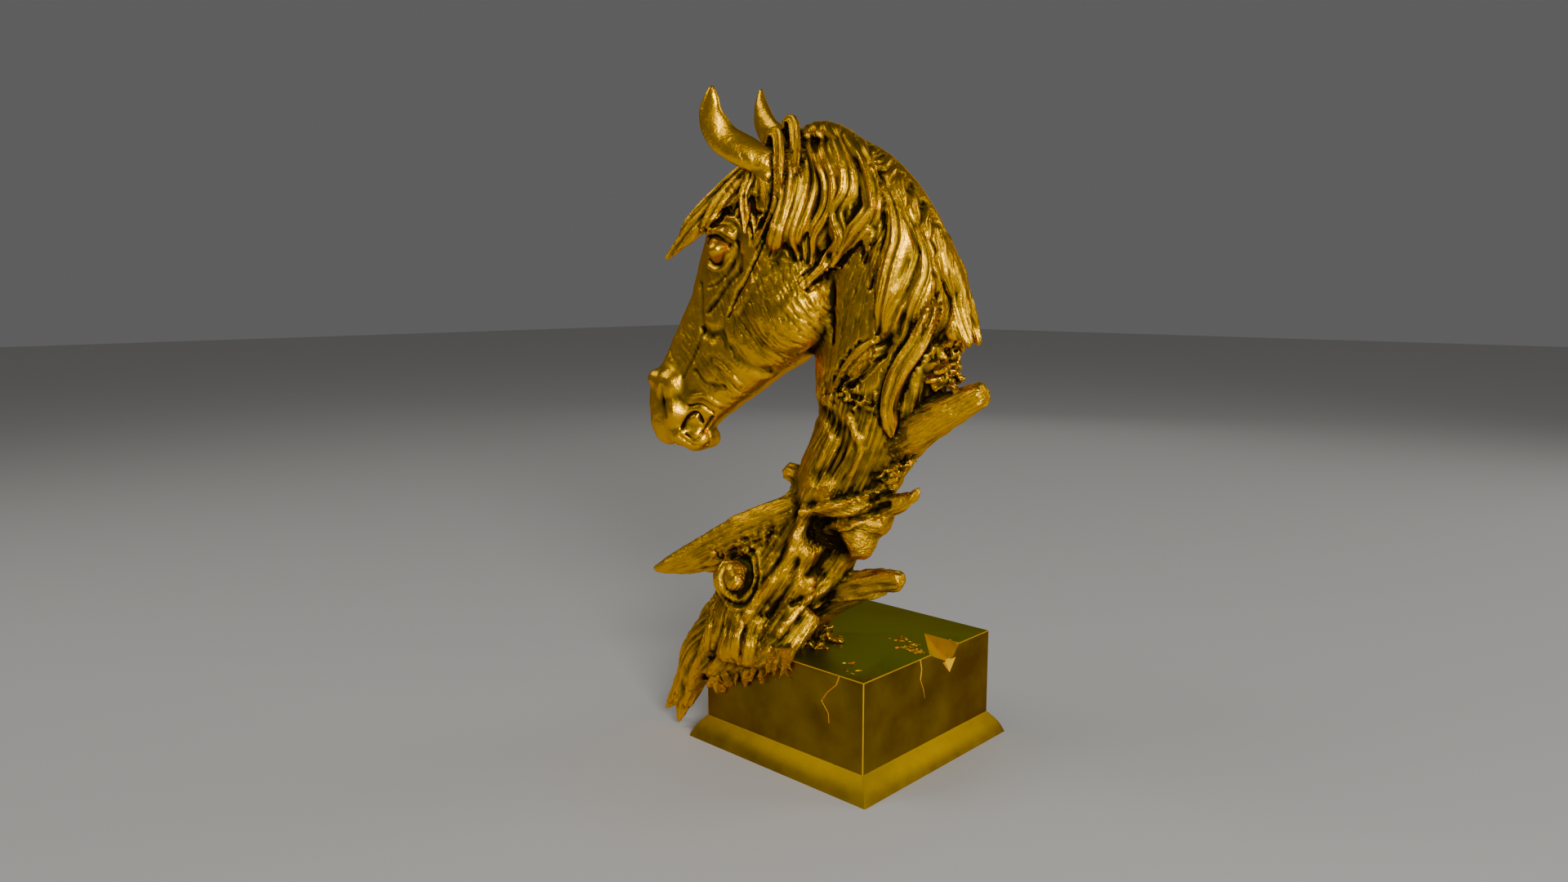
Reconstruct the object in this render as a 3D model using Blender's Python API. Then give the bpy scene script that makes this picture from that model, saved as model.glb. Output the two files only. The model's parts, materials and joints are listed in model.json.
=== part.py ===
import math
import random

import bmesh
import bpy
import numpy as np
from mathutils import Matrix, Vector
from mathutils.bvhtree import BVHTree

# Driving sizes, in metres. The origin is the middle of the plinth's underside, +Z is up, and the
# two faces of the plinth that show in front look along -Y and +X.
PLINTH_SIDE = 0.130
BLOCK_HEIGHT = 0.0551
SKIRT_HEIGHT = 0.0143
SKIRT_FLARE = 0.0088
SKIRT_BULGE = 0.0012
SKIRT_STEPS = 4
CHIP_START = 0.062
CHIP_LENGTH = 0.033
CHIP_REACH = 0.029
CHIP_DROP = 0.011
NOTCH_DROP = 0.021
NOTCH_WIDTH = 0.006
CRACK_WIDTH = 0.0016
CRACK_DEPTH = 0.0014
FRONT_CRACK_LENGTH = 0.031
FRONT_CRACK_FROM_CORNER = 0.0178
SIDE_CRACK_LENGTH = 0.026
SEAT_GAP = 0.0003

# The finish of both pieces: brass with an antique gold lacquer, darker on the plinth.
CASTING_COLOUR = (0.62, 0.40, 0.04)
CASTING_ROUGHNESS = 0.35
PLINTH_COLOUR = (0.40, 0.27, 0.03)
PLINTH_ROUGHNESS = 0.4

# The casting: its height above the plinth's top, the place of its foot and the turn of the head's
# own plane from the plinth's X axis.
FIGURE_HEIGHT = 0.343
FOOT_FROM_LEFT = 0.045
FOOT_FROM_FRONT = 0.035
FIGURE_TURN = math.radians(20)

# The casting is laid out in units of its own, 343 of them in its height. In that layout +X is
# towards the back of the mane, +Y the far side, +Z up from the plinth's top.
UNIT = FIGURE_HEIGHT / 343
CORE_VOXEL = 2.2
SKIN_VOXEL = 1.6
CORE_SMOOTHING = 12
SKIN_SMOOTHING = 2
CASTING_TRIANGLES = 9300

PLINTH_TOP = SKIRT_HEIGHT + BLOCK_HEIGHT

# The head's axis runs down the face from the poll. Rows: distance along it, front and back edges
# across it, half width at the front and at the back.
POLL = (0, 305)
FACE_SLOPE = math.radians(26.7)
HEAD_SQUARENESS = 0.8
HEAD_ROWS = (
    (-4, -8, 16, 9, 11),
    (8, -20, 32, 16, 20),
    (29, -29, 48, 21, 25),
    (50, -32, 60, 23, 28),
    (73, -30, 66, 20, 28),
    (97, -26, 68, 14, 28),
    (112, -24, 64, 12, 27),
    (127, -24, 54, 11, 23),
    (143, -24, 46, 11, 19),
    (161, -24, 36, 12, 16),
    (180, -24, 27, 14, 14),
    (196, -15, 17, 13, 12),
    (205, -6, 6, 9, 9),
)

# The neck and the trunk: x, y, z of the middle line, half depth and half width.
NECK_ROWS = (
    (12, 0, 303, 18, 14),
    (38, 0, 274, 34, 18),
    (55, 0, 238, 42, 22),
    (58, 0, 200, 44, 24),
    (55, 0, 165, 41, 25),
    (48, 0, 134, 33, 25),
    (33, 0, 102, 31, 25),
    (20, -1, 74, 29, 25),
    (2, -4, 46, 31, 28),
    (-14, -6, 22, 34, 33),
    (-18, -7, 4, 36, 38),
    (-20, -8, -10, 35, 36),
)

# Branches, roots and broken stubs: x, y, z, half width and half thickness along each, and the way
# its flat side faces.
LIMBS = {
    "upper branch": (
        ((58, 0, 128, 20, 18), (84, -7, 142, 14, 14), (106, -10, 155, 10, 10), (122, -12, 163, 7.5, 8)),
        (0, 1, 0),
    ),
    "broken branch": (((28, -6, 92, 22, 22), (52, -8, 86, 17, 17), (66, -10, 83, 9, 10)), (0, 1, 0)),
    "spike": (((52, -12, 88, 9, 8), (74, -14, 96, 6, 5), (87, -16, 106, 2, 2)), (0, 1, 0)),
    "lower branch": (
        ((0, -2, 12, 15, 12), (26, -4, 29, 12, 9), (52, -5, 42, 9, 8), (66, -5, 46, 8, 7)),
        (0, 1, 0),
    ),
    "plank": (
        (
            (12, -12, 84, 15, 9),
            (-24, -18, 68, 16, 7),
            (-54, -19, 53, 13, 5),
            (-79, -19, 43, 8, 4),
            (-93, -19, 38, 2.5, 2),
        ),
        (0.1, 1, 0.15),
    ),
    "left root": (
        (
            (-26, -14, 14, 27, 20),
            (-54, -15, -10, 18, 15),
            (-69, -12, -32, 12, 10),
            (-82, -8, -49, 7, 6),
            (-94, -5, -63, 2, 2),
        ),
        (0.3, 1, 0),
    ),
    "split root": (
        ((-62, -13, -28, 9, 8), (-75, -13, -54, 6, 5), (-79, -13, -68, 2, 2)),
        (0.3, 1, 0),
    ),
    "front lip": (
        (
            (-52, -24, -14, 17, 9),
            (-36, -27, -7, 20, 9),
            (-18, -33, -1, 16, 8),
            (0, -39, 0, 11, 7),
            (14, -43, -1, 5, 4),
        ),
        (0.34, 0.94, 0.2),
    ),
    "back foot": (((-14, 16, 22, 22, 14), (-2, 26, 6, 20, 10), (8, 33, -2, 12, 6)), (0, 1, 0.6)),
    "throat stub": (((12, 2, 100, 8, 8), (-3, 4, 106, 7, 7), (-9, 4, 107, 5.5, 5)), (0, 1, 0)),
}

# Rounded lumps: x, y, z and radii. A lump with a y is on that side only.
LUMPS = (
    (69, -6, 46, 6.5, 7, 7.5),
    (45, -12, 72, 14, 12, 16),
    (-29, -31, 42, 12, 9, 14),
    (30, 22, 86, 14, 9, 18),
    (58, 22, 150, 14, 8, 18),
)

# Broken wood: x, y, z and radius of each clump of blocky pieces.
CLUMPS = (
    (72, -8, 122, 7),
    (64, -16, 112, 8),
    (94, -8, 184, 10),
    (97, -12, 172, 9),
    (88, 10, 178, 10),
    (46, -20, 158, 8),
)
CLUMP_PIECES = 9
# shares of the clump's radius: length, width and thickness of its pieces
CLUMP_PIECE_SIZES = ((0.5, 0.8), (0.3, 0.55), (0.2, 0.35))
CLUMP_SPREAD = 0.7
CLUMP_TILT = 0.7

# Wood grain: how many raised fibres the trunk and each limb carry, their half width, and the shares
# of the limb's length that they cover and start at.
TRUNK_FIBRES = 16
LIMB_FIBRES = 4
FIBRE_HALF_WIDTH = 2.6
LIMB_FIBRE_HALF_WIDTH = 1.8
FIBRE_COVERS = (0.25, 0.6)
FIBRE_TWIST = 0.5
FIBRE_SINK = 0.97
TRUNK_GRAIN_START = 0.66
LIMB_GRAIN_START = 0.05

# Splinters that hang over the plinth's front edge, from the left corner inwards.
SPLINTERS = 18
SPLINTER_LENGTH = 11
SPLINTER_SPAN = (-48, 16)
SPLINTER_HALF_WIDTHS = (2, 3.4)
# how far down the plinth's face the leftmost splinter starts
SPLINTER_SAG = 26

# Strokes in the wood, as x and z of the side view, with their radius and height: hollows, the shelf
# above the large recess, the knot with its rim, and the ridges of the roots.
WOOD_STROKES = (
    (((26, 74), (32, 62), (27, 50)), 15, -8),
    (((67, 104), (50, 98), (32, 92), (17, 87)), 4.5, 4.5),
    (((66, 95), (50, 87), (36, 83), (25, 79)), 4, -4.5),
    (((23, 150), (37, 138), (36, 121), (26, 110)), 9, -3),
    (((44, 146), (52, 128), (46, 112)), 4, 2),
    (((17, 98), (28, 104)), 12, 2.5),
    (((17, 88), (12, 71), (6, 56), (-4, 40), (-14, 25)), 6, 4),
    (((14, 58), (8, 40), (-2, 24)), 4, -3),
    (((23, 45), (17, 30), (6, 15)), 4.5, 2.5),
    (((-10, 56), (-20, 57), (-32, 53), (-39, 45), (-37, 35), (-30, 28)), 3.6, 3.4),
    (((-31, 46), (-22, 45)), 8, -5.5),
    (((-24, 41), (-23, 41)), 5.5, 5.5),
    (((-28, 26), (-16, 25), (-6, 21)), 7, -6),
    (((-43, 9), (-50, -8), (-61, -29), (-69, -49)), 6, 2.5),
    (((-19, 18), (-27, -1), (-46, -32)), 7, 2),
    (((-33, 14), (-40, -4), (-54, -30)), 4, -3.5),
    (((66, 190), (54, 176), (38, 165)), 7, -2.5),
    (((30, 240), (31, 215), (31, 190)), 4, -2.2),
)
# the far side of the wood is never seen in the photograph: the same hollows, shallower
FAR_WOOD_SHARE = 0.8

# Thin locks that hang between the jaw and the neck: x, y, z, half width, half thickness.
THROAT_LOCKS = (
    ((32, -28, 262, 3, 2.5), (29, -27, 228, 3, 2.5), (31, -25, 192, 1.5, 1.5)),
    ((38, -28, 250, 2.5, 2.5), (35, -26, 216, 2.5, 2), (31, -25, 182, 1.5, 1.5)),
)

# Pairs of rounded forms on both sides of the head: x, y, z, radii.
HEAD_PAIRS = (
    (1, 15, 212, 28, 15, 31),
    (-41, 19, 245, 9, 8.5, 8.5),
    (-41, 17, 257, 15, 9, 5),
    (-12, 16, 284, 18, 11, 16),
    (-82, 9, 159, 12, 9, 12),
    (-94, 7, 163, 7, 6, 7),
    (-78, 9, 142, 9, 10, 12),
    (-76, 8, 128, 10, 9, 8),
    (-66, 5, 125, 11.5, 9, 8.5),
)

# The ears: x, y, z, half width, half thickness. The near ear sweeps forward, the far one stands up.
EARS = (
    (
        (-2, -18, 291, 8, 6),
        (-22, -24, 301, 10, 5),
        (-35, -27, 309, 9.5, 4.5),
        (-41, -30, 321, 8, 4),
        (-40, -32, 331, 5, 3),
        (-39, -33, 338, 1.5, 1.2),
    ),
    (
        (-4, 16, 300, 8, 6),
        (-20, 21, 312, 10, 5),
        (-30, 24, 322, 9, 4),
        (-34, 26, 333, 6, 3.5),
        (-35, 27, 346, 1.2, 1.2),
    ),
)

# Four rails run across the mane from the poll to its back end. A lock of the under layer falls from
# the first to the last. Each rail: half width of the neck there, then x and z of ten places.
MANE_RAILS = (
    (4, (
        (-14, 306), (0, 308), (14, 318), (27, 316), (44, 304),
        (58, 290), (76, 268), (90, 250), (96, 236), (99, 226),
    )),
    (22, (
        (-1, 296), (13, 288), (24, 290), (35, 284), (52, 283),
        (65, 268), (80, 250), (93, 236), (104, 225), (112, 212),
    )),
    (28, (
        (0, 274), (12, 269), (26, 269), (36, 260), (52, 262),
        (66, 234), (77, 222), (89, 202), (101, 204), (117, 196),
    )),
    (28, (
        (-10, 240), (8, 240), (28, 252), (20, 224), (45, 244),
        (60, 196), (68, 180), (78, 165), (92, 186), (120, 190),
    )),
)
UNDER_LOCKS = 18
UNDER_HALF_WIDTHS = (4, 6)
UNDER_HALF_THICKNESS = 3
UNDER_TAPER = (0.6, 1, 1, 0.8, 0.25)
UNDER_LIFT = 0.2
UNDER_WAVE = 3
CREST_HALF_WIDTH = 5

# The broad locks of the mane, the same on both sides: x and z of the side view from the crest down,
# half width, half thickness.
MANE_LOCKS = (
    (((-11, 308), (1, 295), (0, 276), (-4, 258), (-13, 238)), 6, 4),
    (((1, 314), (6, 297), (6, 278), (-5, 248)), 6.7, 4.5),
    (((6, 310), (15, 287), (14, 269), (7, 238)), 6, 4.5),
    (((15, 308), (19, 290), (19, 272), (17, 255)), 5.4, 3.5),
    (((22, 308), (29, 277), (34, 252)), 5.4, 3),
    (((26, 311), (31, 286), (37, 270), (34, 250), (26, 238), (17, 223)), 9.4, 5),
    (((42, 304), (48, 284), (43, 264), (39, 252), (29, 236)), 7.4, 4),
    (((50, 299), (54, 266), (46, 250)), 4.7, 3),
    (((60, 290), (65, 271), (67, 239), (66, 221), (60, 194)), 8.8, 4.5),
    (((71, 279), (71, 262), (74, 225), (66, 192)), 6.7, 4.5),
    (((80, 269), (83, 251), (81, 208), (67, 178)), 8.8, 4.5),
    (((89, 259), (88, 242), (85, 206), (84, 186)), 6, 4),
    (((96, 247), (94, 236), (89, 203), (82, 186), (70, 168)), 8, 4.5),
    (((101, 238), (104, 222), (100, 206), (93, 192)), 7.4, 4),
)
LOCK_TAPER = (0.7, 1, 1.05, 1, 0.85, 0.2)
# every other lock lies higher than its neighbours
LOCK_RISES = (1.6, 3.4)

# The last lock of the mane stands clear of the trunk and ends in a point: x, distance from the
# middle plane, z, half width, half thickness.
BACK_FLAP = (
    (89, 3, 248, 5, 4),
    (95, 6, 228, 9, 5),
    (101, 10, 208, 11, 5),
    (106, 12, 197, 8, 4),
    (113, 14, 189, 2, 2),
)

# The forelock: one flying lock past the brow and flat ones across the forehead.
FORELOCK = (
    (
        (-14, -4, 300, 7, 6),
        (-29, -6, 290, 8, 6),
        (-47, -9, 274, 10, 5),
        (-64, -12, 258, 8, 4),
        (-82, -14, 239, 1.5, 1.5),
    ),
    ((-18, -12, 294, 7, 5), (-32, -18, 281, 7, 4), (-44, -22, 267, 5, 3), (-51, -25, 257, 1.5, 1.5)),
    ((-16, -18, 292, 6, 5), (-22, -25, 275, 5, 4), (-20, -28, 253, 1.5, 1.5)),
    ((-16, 6, 298, 8, 6), (-34, 12, 281, 8, 4), (-46, 17, 262, 5, 3), (-52, 15, 246, 1.5, 1.5)),
)

# Curls that stand up between the ears, before the mane starts.
POLL_CURLS = (
    (
        (-14, -13, 298, 5, 3.5),
        (-10, -15, 310, 5, 3.5),
        (-3, -19, 309, 5, 3.5),
        (1, -25, 293, 4.5, 3.5),
        (-1, -28, 274, 2, 2),
    ),
    (
        (-4, -10, 304, 5, 3.5),
        (-1, -11, 318, 4.5, 3.5),
        (5, -14, 317, 4.5, 3.5),
        (9, -20, 302, 4.5, 3.5),
        (11, -25, 286, 3, 2.5),
    ),
    ((-4, 8, 302, 6, 4), (1, 8, 311, 5, 4), (8, 13, 306, 5, 4), (13, 20, 290, 4, 3)),
)

# The way the flat sides of free locks and ears face, on the far side of the head.
FORELOCK_FACE = (-0.2, -0.95, 0.1)
CURL_FACE = (-0.5, -0.7, 0.3)
FLAP_FACE = (0.3, 1, 0.2)
EAR_FACE = (0.25, 1, 0.35)

# Strokes on both sides of the head, as x and z of the side view, with their radius and height:
# the eye with its lids and brow, the cheek, the nostril and the mouth.
HEAD_STROKES = (
    (((-43, 243), (-42, 243)), 7, 1.6),
    (((-53, 248), (-47, 252), (-40, 252), (-33, 247)), 2.5, -2.4),
    (((-53, 256), (-44, 262), (-36, 263), (-27, 262)), 4, 2.6),
    (((-52, 239), (-47, 235.5), (-41, 236), (-36, 241), (-33, 246)), 2.5, -2),
    (((-53, 222), (-44, 225), (-35, 232), (-29, 241), (-28, 248)), 3, -2.2),
    (((-56, 195), (-50, 193), (-44, 193), (-40, 187), (-31, 180), (-20, 172), (-12, 170)), 4.5, -2.6),
    (((-53, 201), (-43, 199), (-37, 192), (-28, 185), (-16, 177)), 4, 1.4),
    (((-5, 264), (-12, 245), (-23, 226), (-30, 217), (-37, 204)), 4, -2.2),
    (((-60, 224), (-58, 207), (-58, 193), (-65, 177), (-71, 166)), 4, -1.8),
    (((-86, 161), (-86, 150), (-82, 139)), 3.5, -4.5),
    (((-93, 163), (-93, 152), (-89, 140)), 3.2, 2.2),
    (((-78, 122), (-71, 135), (-67, 141), (-62, 142), (-60, 137)), 3, -3.2),
    (((-69, 129), (-63, 126), (-58, 134), (-53, 140)), 2.6, -1.8),
)


def clear_scene():
    for obj in list(bpy.data.objects):
        bpy.data.objects.remove(obj)


def finish_material(name, colour, roughness):
    material = bpy.data.materials.new(name)
    material.use_nodes = True
    shader = material.node_tree.nodes["Principled BSDF"]
    shader.inputs["Base Color"].default_value = (*colour, 1)
    shader.inputs["Roughness"].default_value = roughness
    shader.inputs["Metallic"].default_value = 1
    return material


def add_object(name, bm):
    bmesh.ops.recalc_face_normals(bm, faces=bm.faces)
    mesh = bpy.data.meshes.new(name)
    bm.to_mesh(mesh)
    bm.free()
    obj = bpy.data.objects.new(name, mesh)
    bpy.context.scene.collection.objects.link(obj)
    return obj


def settle(obj):
    """Applies the object's modifiers to its mesh."""
    graph = bpy.context.evaluated_depsgraph_get()
    mesh = bpy.data.meshes.new_from_object(obj.evaluated_get(graph))
    obj.modifiers.clear()
    obj.data = mesh
    return obj


def remesh(obj, voxel, repeats):
    """Runs the shapes of one object together and softens the joins."""
    skin = obj.modifiers.new("skin", "REMESH")
    skin.mode = "VOXEL"
    skin.voxel_size = voxel
    soften = obj.modifiers.new("soften", "SMOOTH")
    soften.factor = 0.5
    soften.iterations = repeats
    return settle(obj)


def smooth_rows(rows, steps):
    """A Catmull-Rom curve through the rows, with the widths carried along."""
    rows = np.array(rows, float)
    padded = np.vstack([2 * rows[0] - rows[1], rows, 2 * rows[-1] - rows[-2]])
    out = []
    for a, b, c, d in zip(padded, padded[1:], padded[2:], padded[3:]):
        for t in np.arange(steps) / steps:
            square = 2 * a - 5 * b + 4 * c - d
            cube = 3 * b - a - 3 * c + d
            out.append(0.5 * (2 * b + (c - a) * t + square * t**2 + cube * t**3))
    out.append(rows[-1])
    out = np.array(out)
    out[:, 3:] = np.maximum(out[:, 3:], rows[:, 3:].min(axis=0))
    return out


def unit_vector(v):
    return v / max(np.linalg.norm(v), 1e-9)


def loft(bm, rings):
    """Skins closed rings of points and closes both ends."""
    rings = [[bm.verts.new(point) for point in ring] for ring in rings]
    count = len(rings[0])
    for low, high in zip(rings, rings[1:]):
        for i in range(count):
            j = (i + 1) % count
            bm.faces.new((low[i], low[j], high[j], high[i]))
    bm.faces.new(rings[0])
    bm.faces.new(rings[-1])


def sweep(bm, rows, face, sides=12, steps=6):
    """A tapered limb with an oval section. Rows: x, y, z, half width, half thickness."""
    rows = smooth_rows(rows, steps)
    tangents = np.gradient(rows[:, :3], axis=0)
    rings = []
    for i, (row, tangent) in enumerate(zip(rows, tangents)):
        tangent = unit_vector(tangent)
        up = np.array(face[i] if np.ndim(face) == 2 else face, float)
        up = unit_vector(up - tangent * up.dot(tangent))
        side = np.cross(tangent, up)
        ring = []
        for k in range(sides):
            angle = 2 * math.pi * k / sides
            ring.append(row[:3] + side * row[3] * math.cos(angle) + up * row[4] * math.sin(angle))
        rings.append(ring)
    loft(bm, rings)


def sweep_facing(bm, rows, faces, sides, steps):
    """A limb whose flat side turns along its length: one facing for each row."""
    blended = smooth_rows(np.hstack([faces, np.ones((len(faces), 2))]), steps)[:, :3]
    sweep(bm, rows, blended, sides=sides, steps=steps)


def ball(bm, x, y, z, across, deep, tall):
    place = Matrix.Translation((x, y, z)) @ Matrix.Diagonal((across, deep, tall, 1))
    bmesh.ops.create_uvsphere(bm, u_segments=16, v_segments=10, radius=1, matrix=place)


def head_point(along, across):
    """Side view: a place given along the face and across it, as x and z."""
    x = POLL[0] - along * math.sin(FACE_SLOPE) + across * math.cos(FACE_SLOPE)
    z = POLL[1] - along * math.cos(FACE_SLOPE) - across * math.sin(FACE_SLOPE)
    return x, z


def add_head(bm, sides=20):
    rings = []
    for along, front, back, front_width, back_width in HEAD_ROWS:
        ring = []
        for k in range(sides):
            angle = 2 * math.pi * k / sides
            share = (1 - math.cos(angle)) / 2
            across = front + (back - front) * share
            width = front_width + (back_width - front_width) * share
            wide = math.copysign(abs(math.sin(angle)) ** HEAD_SQUARENESS, math.sin(angle)) * width
            x, z = head_point(along, across)
            ring.append((x, wide, z))
        rings.append(ring)
    loft(bm, rings)
    for x, y, z, across, deep, tall in HEAD_PAIRS:
        for side in (-1, 1):
            ball(bm, x, side * y, z, across, deep, tall)


def add_fibre(bm, rows, face, rng, start, half_width):
    """One raised strand of grain along a limb, half sunk in its skin."""
    rows = smooth_rows(rows, 4)
    first = rng.uniform(start, 0.8)
    last = min(first + rng.uniform(*FIBRE_COVERS), 1)
    angle = rng.uniform(0, 2 * math.pi)
    twist = rng.uniform(-FIBRE_TWIST, FIBRE_TWIST)
    picked = []
    outward = []
    for share in np.linspace(first, last, 5):
        spot = int(round(share * (len(rows) - 1)))
        ahead = unit_vector(rows[min(spot + 1, len(rows) - 1), :3] - rows[max(spot - 1, 0), :3])
        up = np.array(face, float)
        up = unit_vector(up - ahead * up.dot(ahead))
        side = np.cross(ahead, up)
        turn = angle + twist * share
        out = side * math.cos(turn) * rows[spot, 3] + up * math.sin(turn) * rows[spot, 4]
        thin = half_width * (0.35 + math.sin(math.pi * (share - first) / (last - first)))
        picked.append((*(rows[spot, :3] + out * FIBRE_SINK), thin, thin * 0.8))
        outward.append(unit_vector(out))
    sweep_facing(bm, picked, outward, sides=8, steps=3)


def add_clump(bm, x, y, z, radius, rng):
    """Blocky bits of broken wood round one place."""
    for _ in range(CLUMP_PIECES):
        shift = Vector([rng.uniform(-CLUMP_SPREAD, CLUMP_SPREAD) * radius for _ in range(3)])
        sizes = [rng.uniform(*span) * radius for span in CLUMP_PIECE_SIZES]
        tilt = Matrix.Rotation(rng.uniform(-CLUMP_TILT, CLUMP_TILT), 4, "Y")
        turn = tilt @ Matrix.Rotation(rng.uniform(0, math.pi), 4, "X")
        place = Matrix.Translation(Vector((x, y, z)) + shift) @ turn @ Matrix.Diagonal((*sizes, 1))
        bmesh.ops.create_cube(bm, size=2, matrix=place)


def add_driftwood(bm):
    sweep(bm, NECK_ROWS, (0, 1, 0), sides=24)
    for rows, face in LIMBS.values():
        sweep(bm, rows, face)
    for lump in LUMPS:
        ball(bm, *lump)


def add_grain(bm, rng):
    for _ in range(TRUNK_FIBRES):
        add_fibre(bm, NECK_ROWS, (0, 1, 0), rng, TRUNK_GRAIN_START, FIBRE_HALF_WIDTH)
    for rows, face in LIMBS.values():
        for _ in range(LIMB_FIBRES):
            add_fibre(bm, rows, face, rng, LIMB_GRAIN_START, LIMB_FIBRE_HALF_WIDTH)
    for clump in CLUMPS:
        add_clump(bm, *clump, rng)


def front_edge(x):
    """y of the plinth's front face, in the casting's layout, beside a place x."""
    return (-FOOT_FROM_FRONT / UNIT - x * math.sin(FIGURE_TURN)) / math.cos(FIGURE_TURN)


def add_splinters(bm, rng):
    """Ragged wood that hangs over the front edge, longest at the left corner."""
    for k in range(SPLINTERS):
        share = (k + rng.uniform(0.1, 0.9)) / SPLINTERS
        x = SPLINTER_SPAN[0] + (SPLINTER_SPAN[1] - SPLINTER_SPAN[0]) * share
        y = front_edge(x) - 1.5
        foot = -SPLINTER_SAG * (1 - share) ** 1.3
        drop = SPLINTER_LENGTH * rng.uniform(0.5, 1)
        lean = rng.uniform(-4, 2)
        wide = rng.uniform(*SPLINTER_HALF_WIDTHS)
        rows = (
            (x + 2, y - 1, foot + 8, wide, 3),
            (x, y - 1.5, foot, wide, 2.6),
            (x + lean, y - 0.5, foot - drop, 0.8, 0.9),
        )
        sweep(bm, rows, (math.sin(FIGURE_TURN), math.cos(FIGURE_TURN), 0), sides=8, steps=3)


def rail_point(rail, place):
    """x, half width and z at a place along a rail, from 0 at the poll to 1 at the back."""
    width, points = rail
    spot = place * (len(points) - 1)
    low = min(int(spot), len(points) - 2)
    part = spot - low
    x = points[low][0] * (1 - part) + points[low + 1][0] * part
    z = points[low][1] * (1 - part) + points[low + 1][1] * part
    return np.array((x, width, z), float)


def lay_on(tree, point, lift):
    """The place on the body under a point, raised by lift, and the way out of the body there."""
    spot, normal, _, _ = tree.find_nearest(Vector(point))
    return np.array(spot + normal * lift), np.array(normal)


def on_side(tree, x, z, side):
    """The skin beside a place of the side view. side: -1 near, 1 far."""
    spot, normal, _, _ = tree.ray_cast(Vector((x, side * 200, z)), Vector((0, -side, 0)))
    if spot is None or abs(normal.y) < 0.15:
        spot = tree.find_nearest(Vector((x, side * 24, z)))[0]
    return np.array(spot)


def add_lock(bm, tree, points, lifts, widths, thicknesses):
    rows = []
    faces = []
    for point, lift, wide, thick in zip(points, lifts, widths, thicknesses):
        spot, out = lay_on(tree, point, lift)
        rows.append((*spot, wide, thick))
        faces.append(out)
    sweep_facing(bm, rows, faces, sides=12, steps=5)


def add_mane(bm, tree, side, rng):
    for k in range(UNDER_LOCKS):
        wave = rng.uniform(-UNDER_WAVE, UNDER_WAVE)
        reach = rng.uniform(0.7, 1)
        wide = rng.uniform(*UNDER_HALF_WIDTHS)
        points = [rail_point(rail, (k + 0.5) / UNDER_LOCKS) for rail in MANE_RAILS]
        points[3] = points[2] + (points[3] - points[2]) * reach
        points.insert(3, (points[2] + points[3]) / 2)
        points = [p * (1, side, 1) + (wave * math.sin(2.2 * i), 0, 0) for i, p in enumerate(points)]
        taper = np.array(UNDER_TAPER)
        add_lock(bm, tree, points, UNDER_LIFT * np.ones(5), wide * taper, UNDER_HALF_THICKNESS * taper)
    for k, (path, wide, thick) in enumerate(MANE_LOCKS):
        places = np.linspace(0, len(LOCK_TAPER) - 1, len(path))
        taper = np.interp(places, range(len(LOCK_TAPER)), LOCK_TAPER)
        points = [on_side(tree, x, z, side) for x, z in path]
        points[0] = np.array((path[0][0], side * 4, path[0][1] - 1))
        lifts = [0.4] + [LOCK_RISES[k % 2]] * (len(path) - 2) + [1]
        add_lock(bm, tree, points, lifts, wide * taper, thick * taper)


def add_crest(bm):
    """The ridge that the locks of both sides start from."""
    half = CREST_HALF_WIDTH
    rows = [(x, 0, z - half + 1, half, half) for x, z in MANE_RAILS[0][1]]
    sweep(bm, rows, (0, 1, 0))


def add_back_flap(bm):
    for side in (-1, 1):
        rows = [(x, side * y, z, wide, thick) for x, y, z, wide, thick in BACK_FLAP]
        sweep(bm, rows, (FLAP_FACE[0], side * FLAP_FACE[1], FLAP_FACE[2]))


def add_ear(bm, rows):
    side = -1 if rows[0][1] < 0 else 1
    sweep(bm, rows, (EAR_FACE[0], side * EAR_FACE[1], EAR_FACE[2]))


def curve_distance(points, path):
    """Each point's distance to a run of straight stretches."""
    best = np.full(len(points), np.inf)
    for start, end in zip(path, path[1:]):
        run = end - start
        share = np.clip((points - start) @ run / max(run @ run, 1e-9), 0, 1)
        best = np.minimum(best, np.linalg.norm(points - start - share[:, None] * run, axis=1))
    return best


def carve(mesh, strokes):
    """Moves the skin out or in along strokes. Each: rows of x, y, z, then radius and height."""
    count = len(mesh.vertices)
    points = np.empty(count * 3)
    mesh.vertices.foreach_get("co", points)
    points = points.reshape(-1, 3)
    normals = np.empty(count * 3)
    mesh.vertices.foreach_get("normal", normals)
    normals = normals.reshape(-1, 3)
    moved = np.zeros(count)
    for rows, radius, height in strokes:
        path = smooth_rows(np.hstack([np.array(rows, float), np.ones((len(rows), 1))]), 5)[:, :3]
        low = path.min(axis=0) - radius
        high = path.max(axis=0) + radius
        near = np.flatnonzero(((points > low) & (points < high)).all(axis=1))
        away = curve_distance(points[near], path) / radius
        moved[near] += height * np.clip(1 - away**2, 0, 1) ** 2
    points = points + normals * moved[:, None]
    mesh.vertices.foreach_set("co", points.ravel())
    mesh.update()


def body_tree(obj):
    points = [v.co.copy() for v in obj.data.vertices]
    return BVHTree.FromPolygons(points, [tuple(p.vertices) for p in obj.data.polygons])


def side_strokes(tree, table, side, share=1):
    """A table's strokes laid on one side of the body."""
    strokes = []
    for path, radius, height in table:
        strokes.append(([on_side(tree, x, z, side) for x, z in path], radius, height * share))
    return strokes


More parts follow.
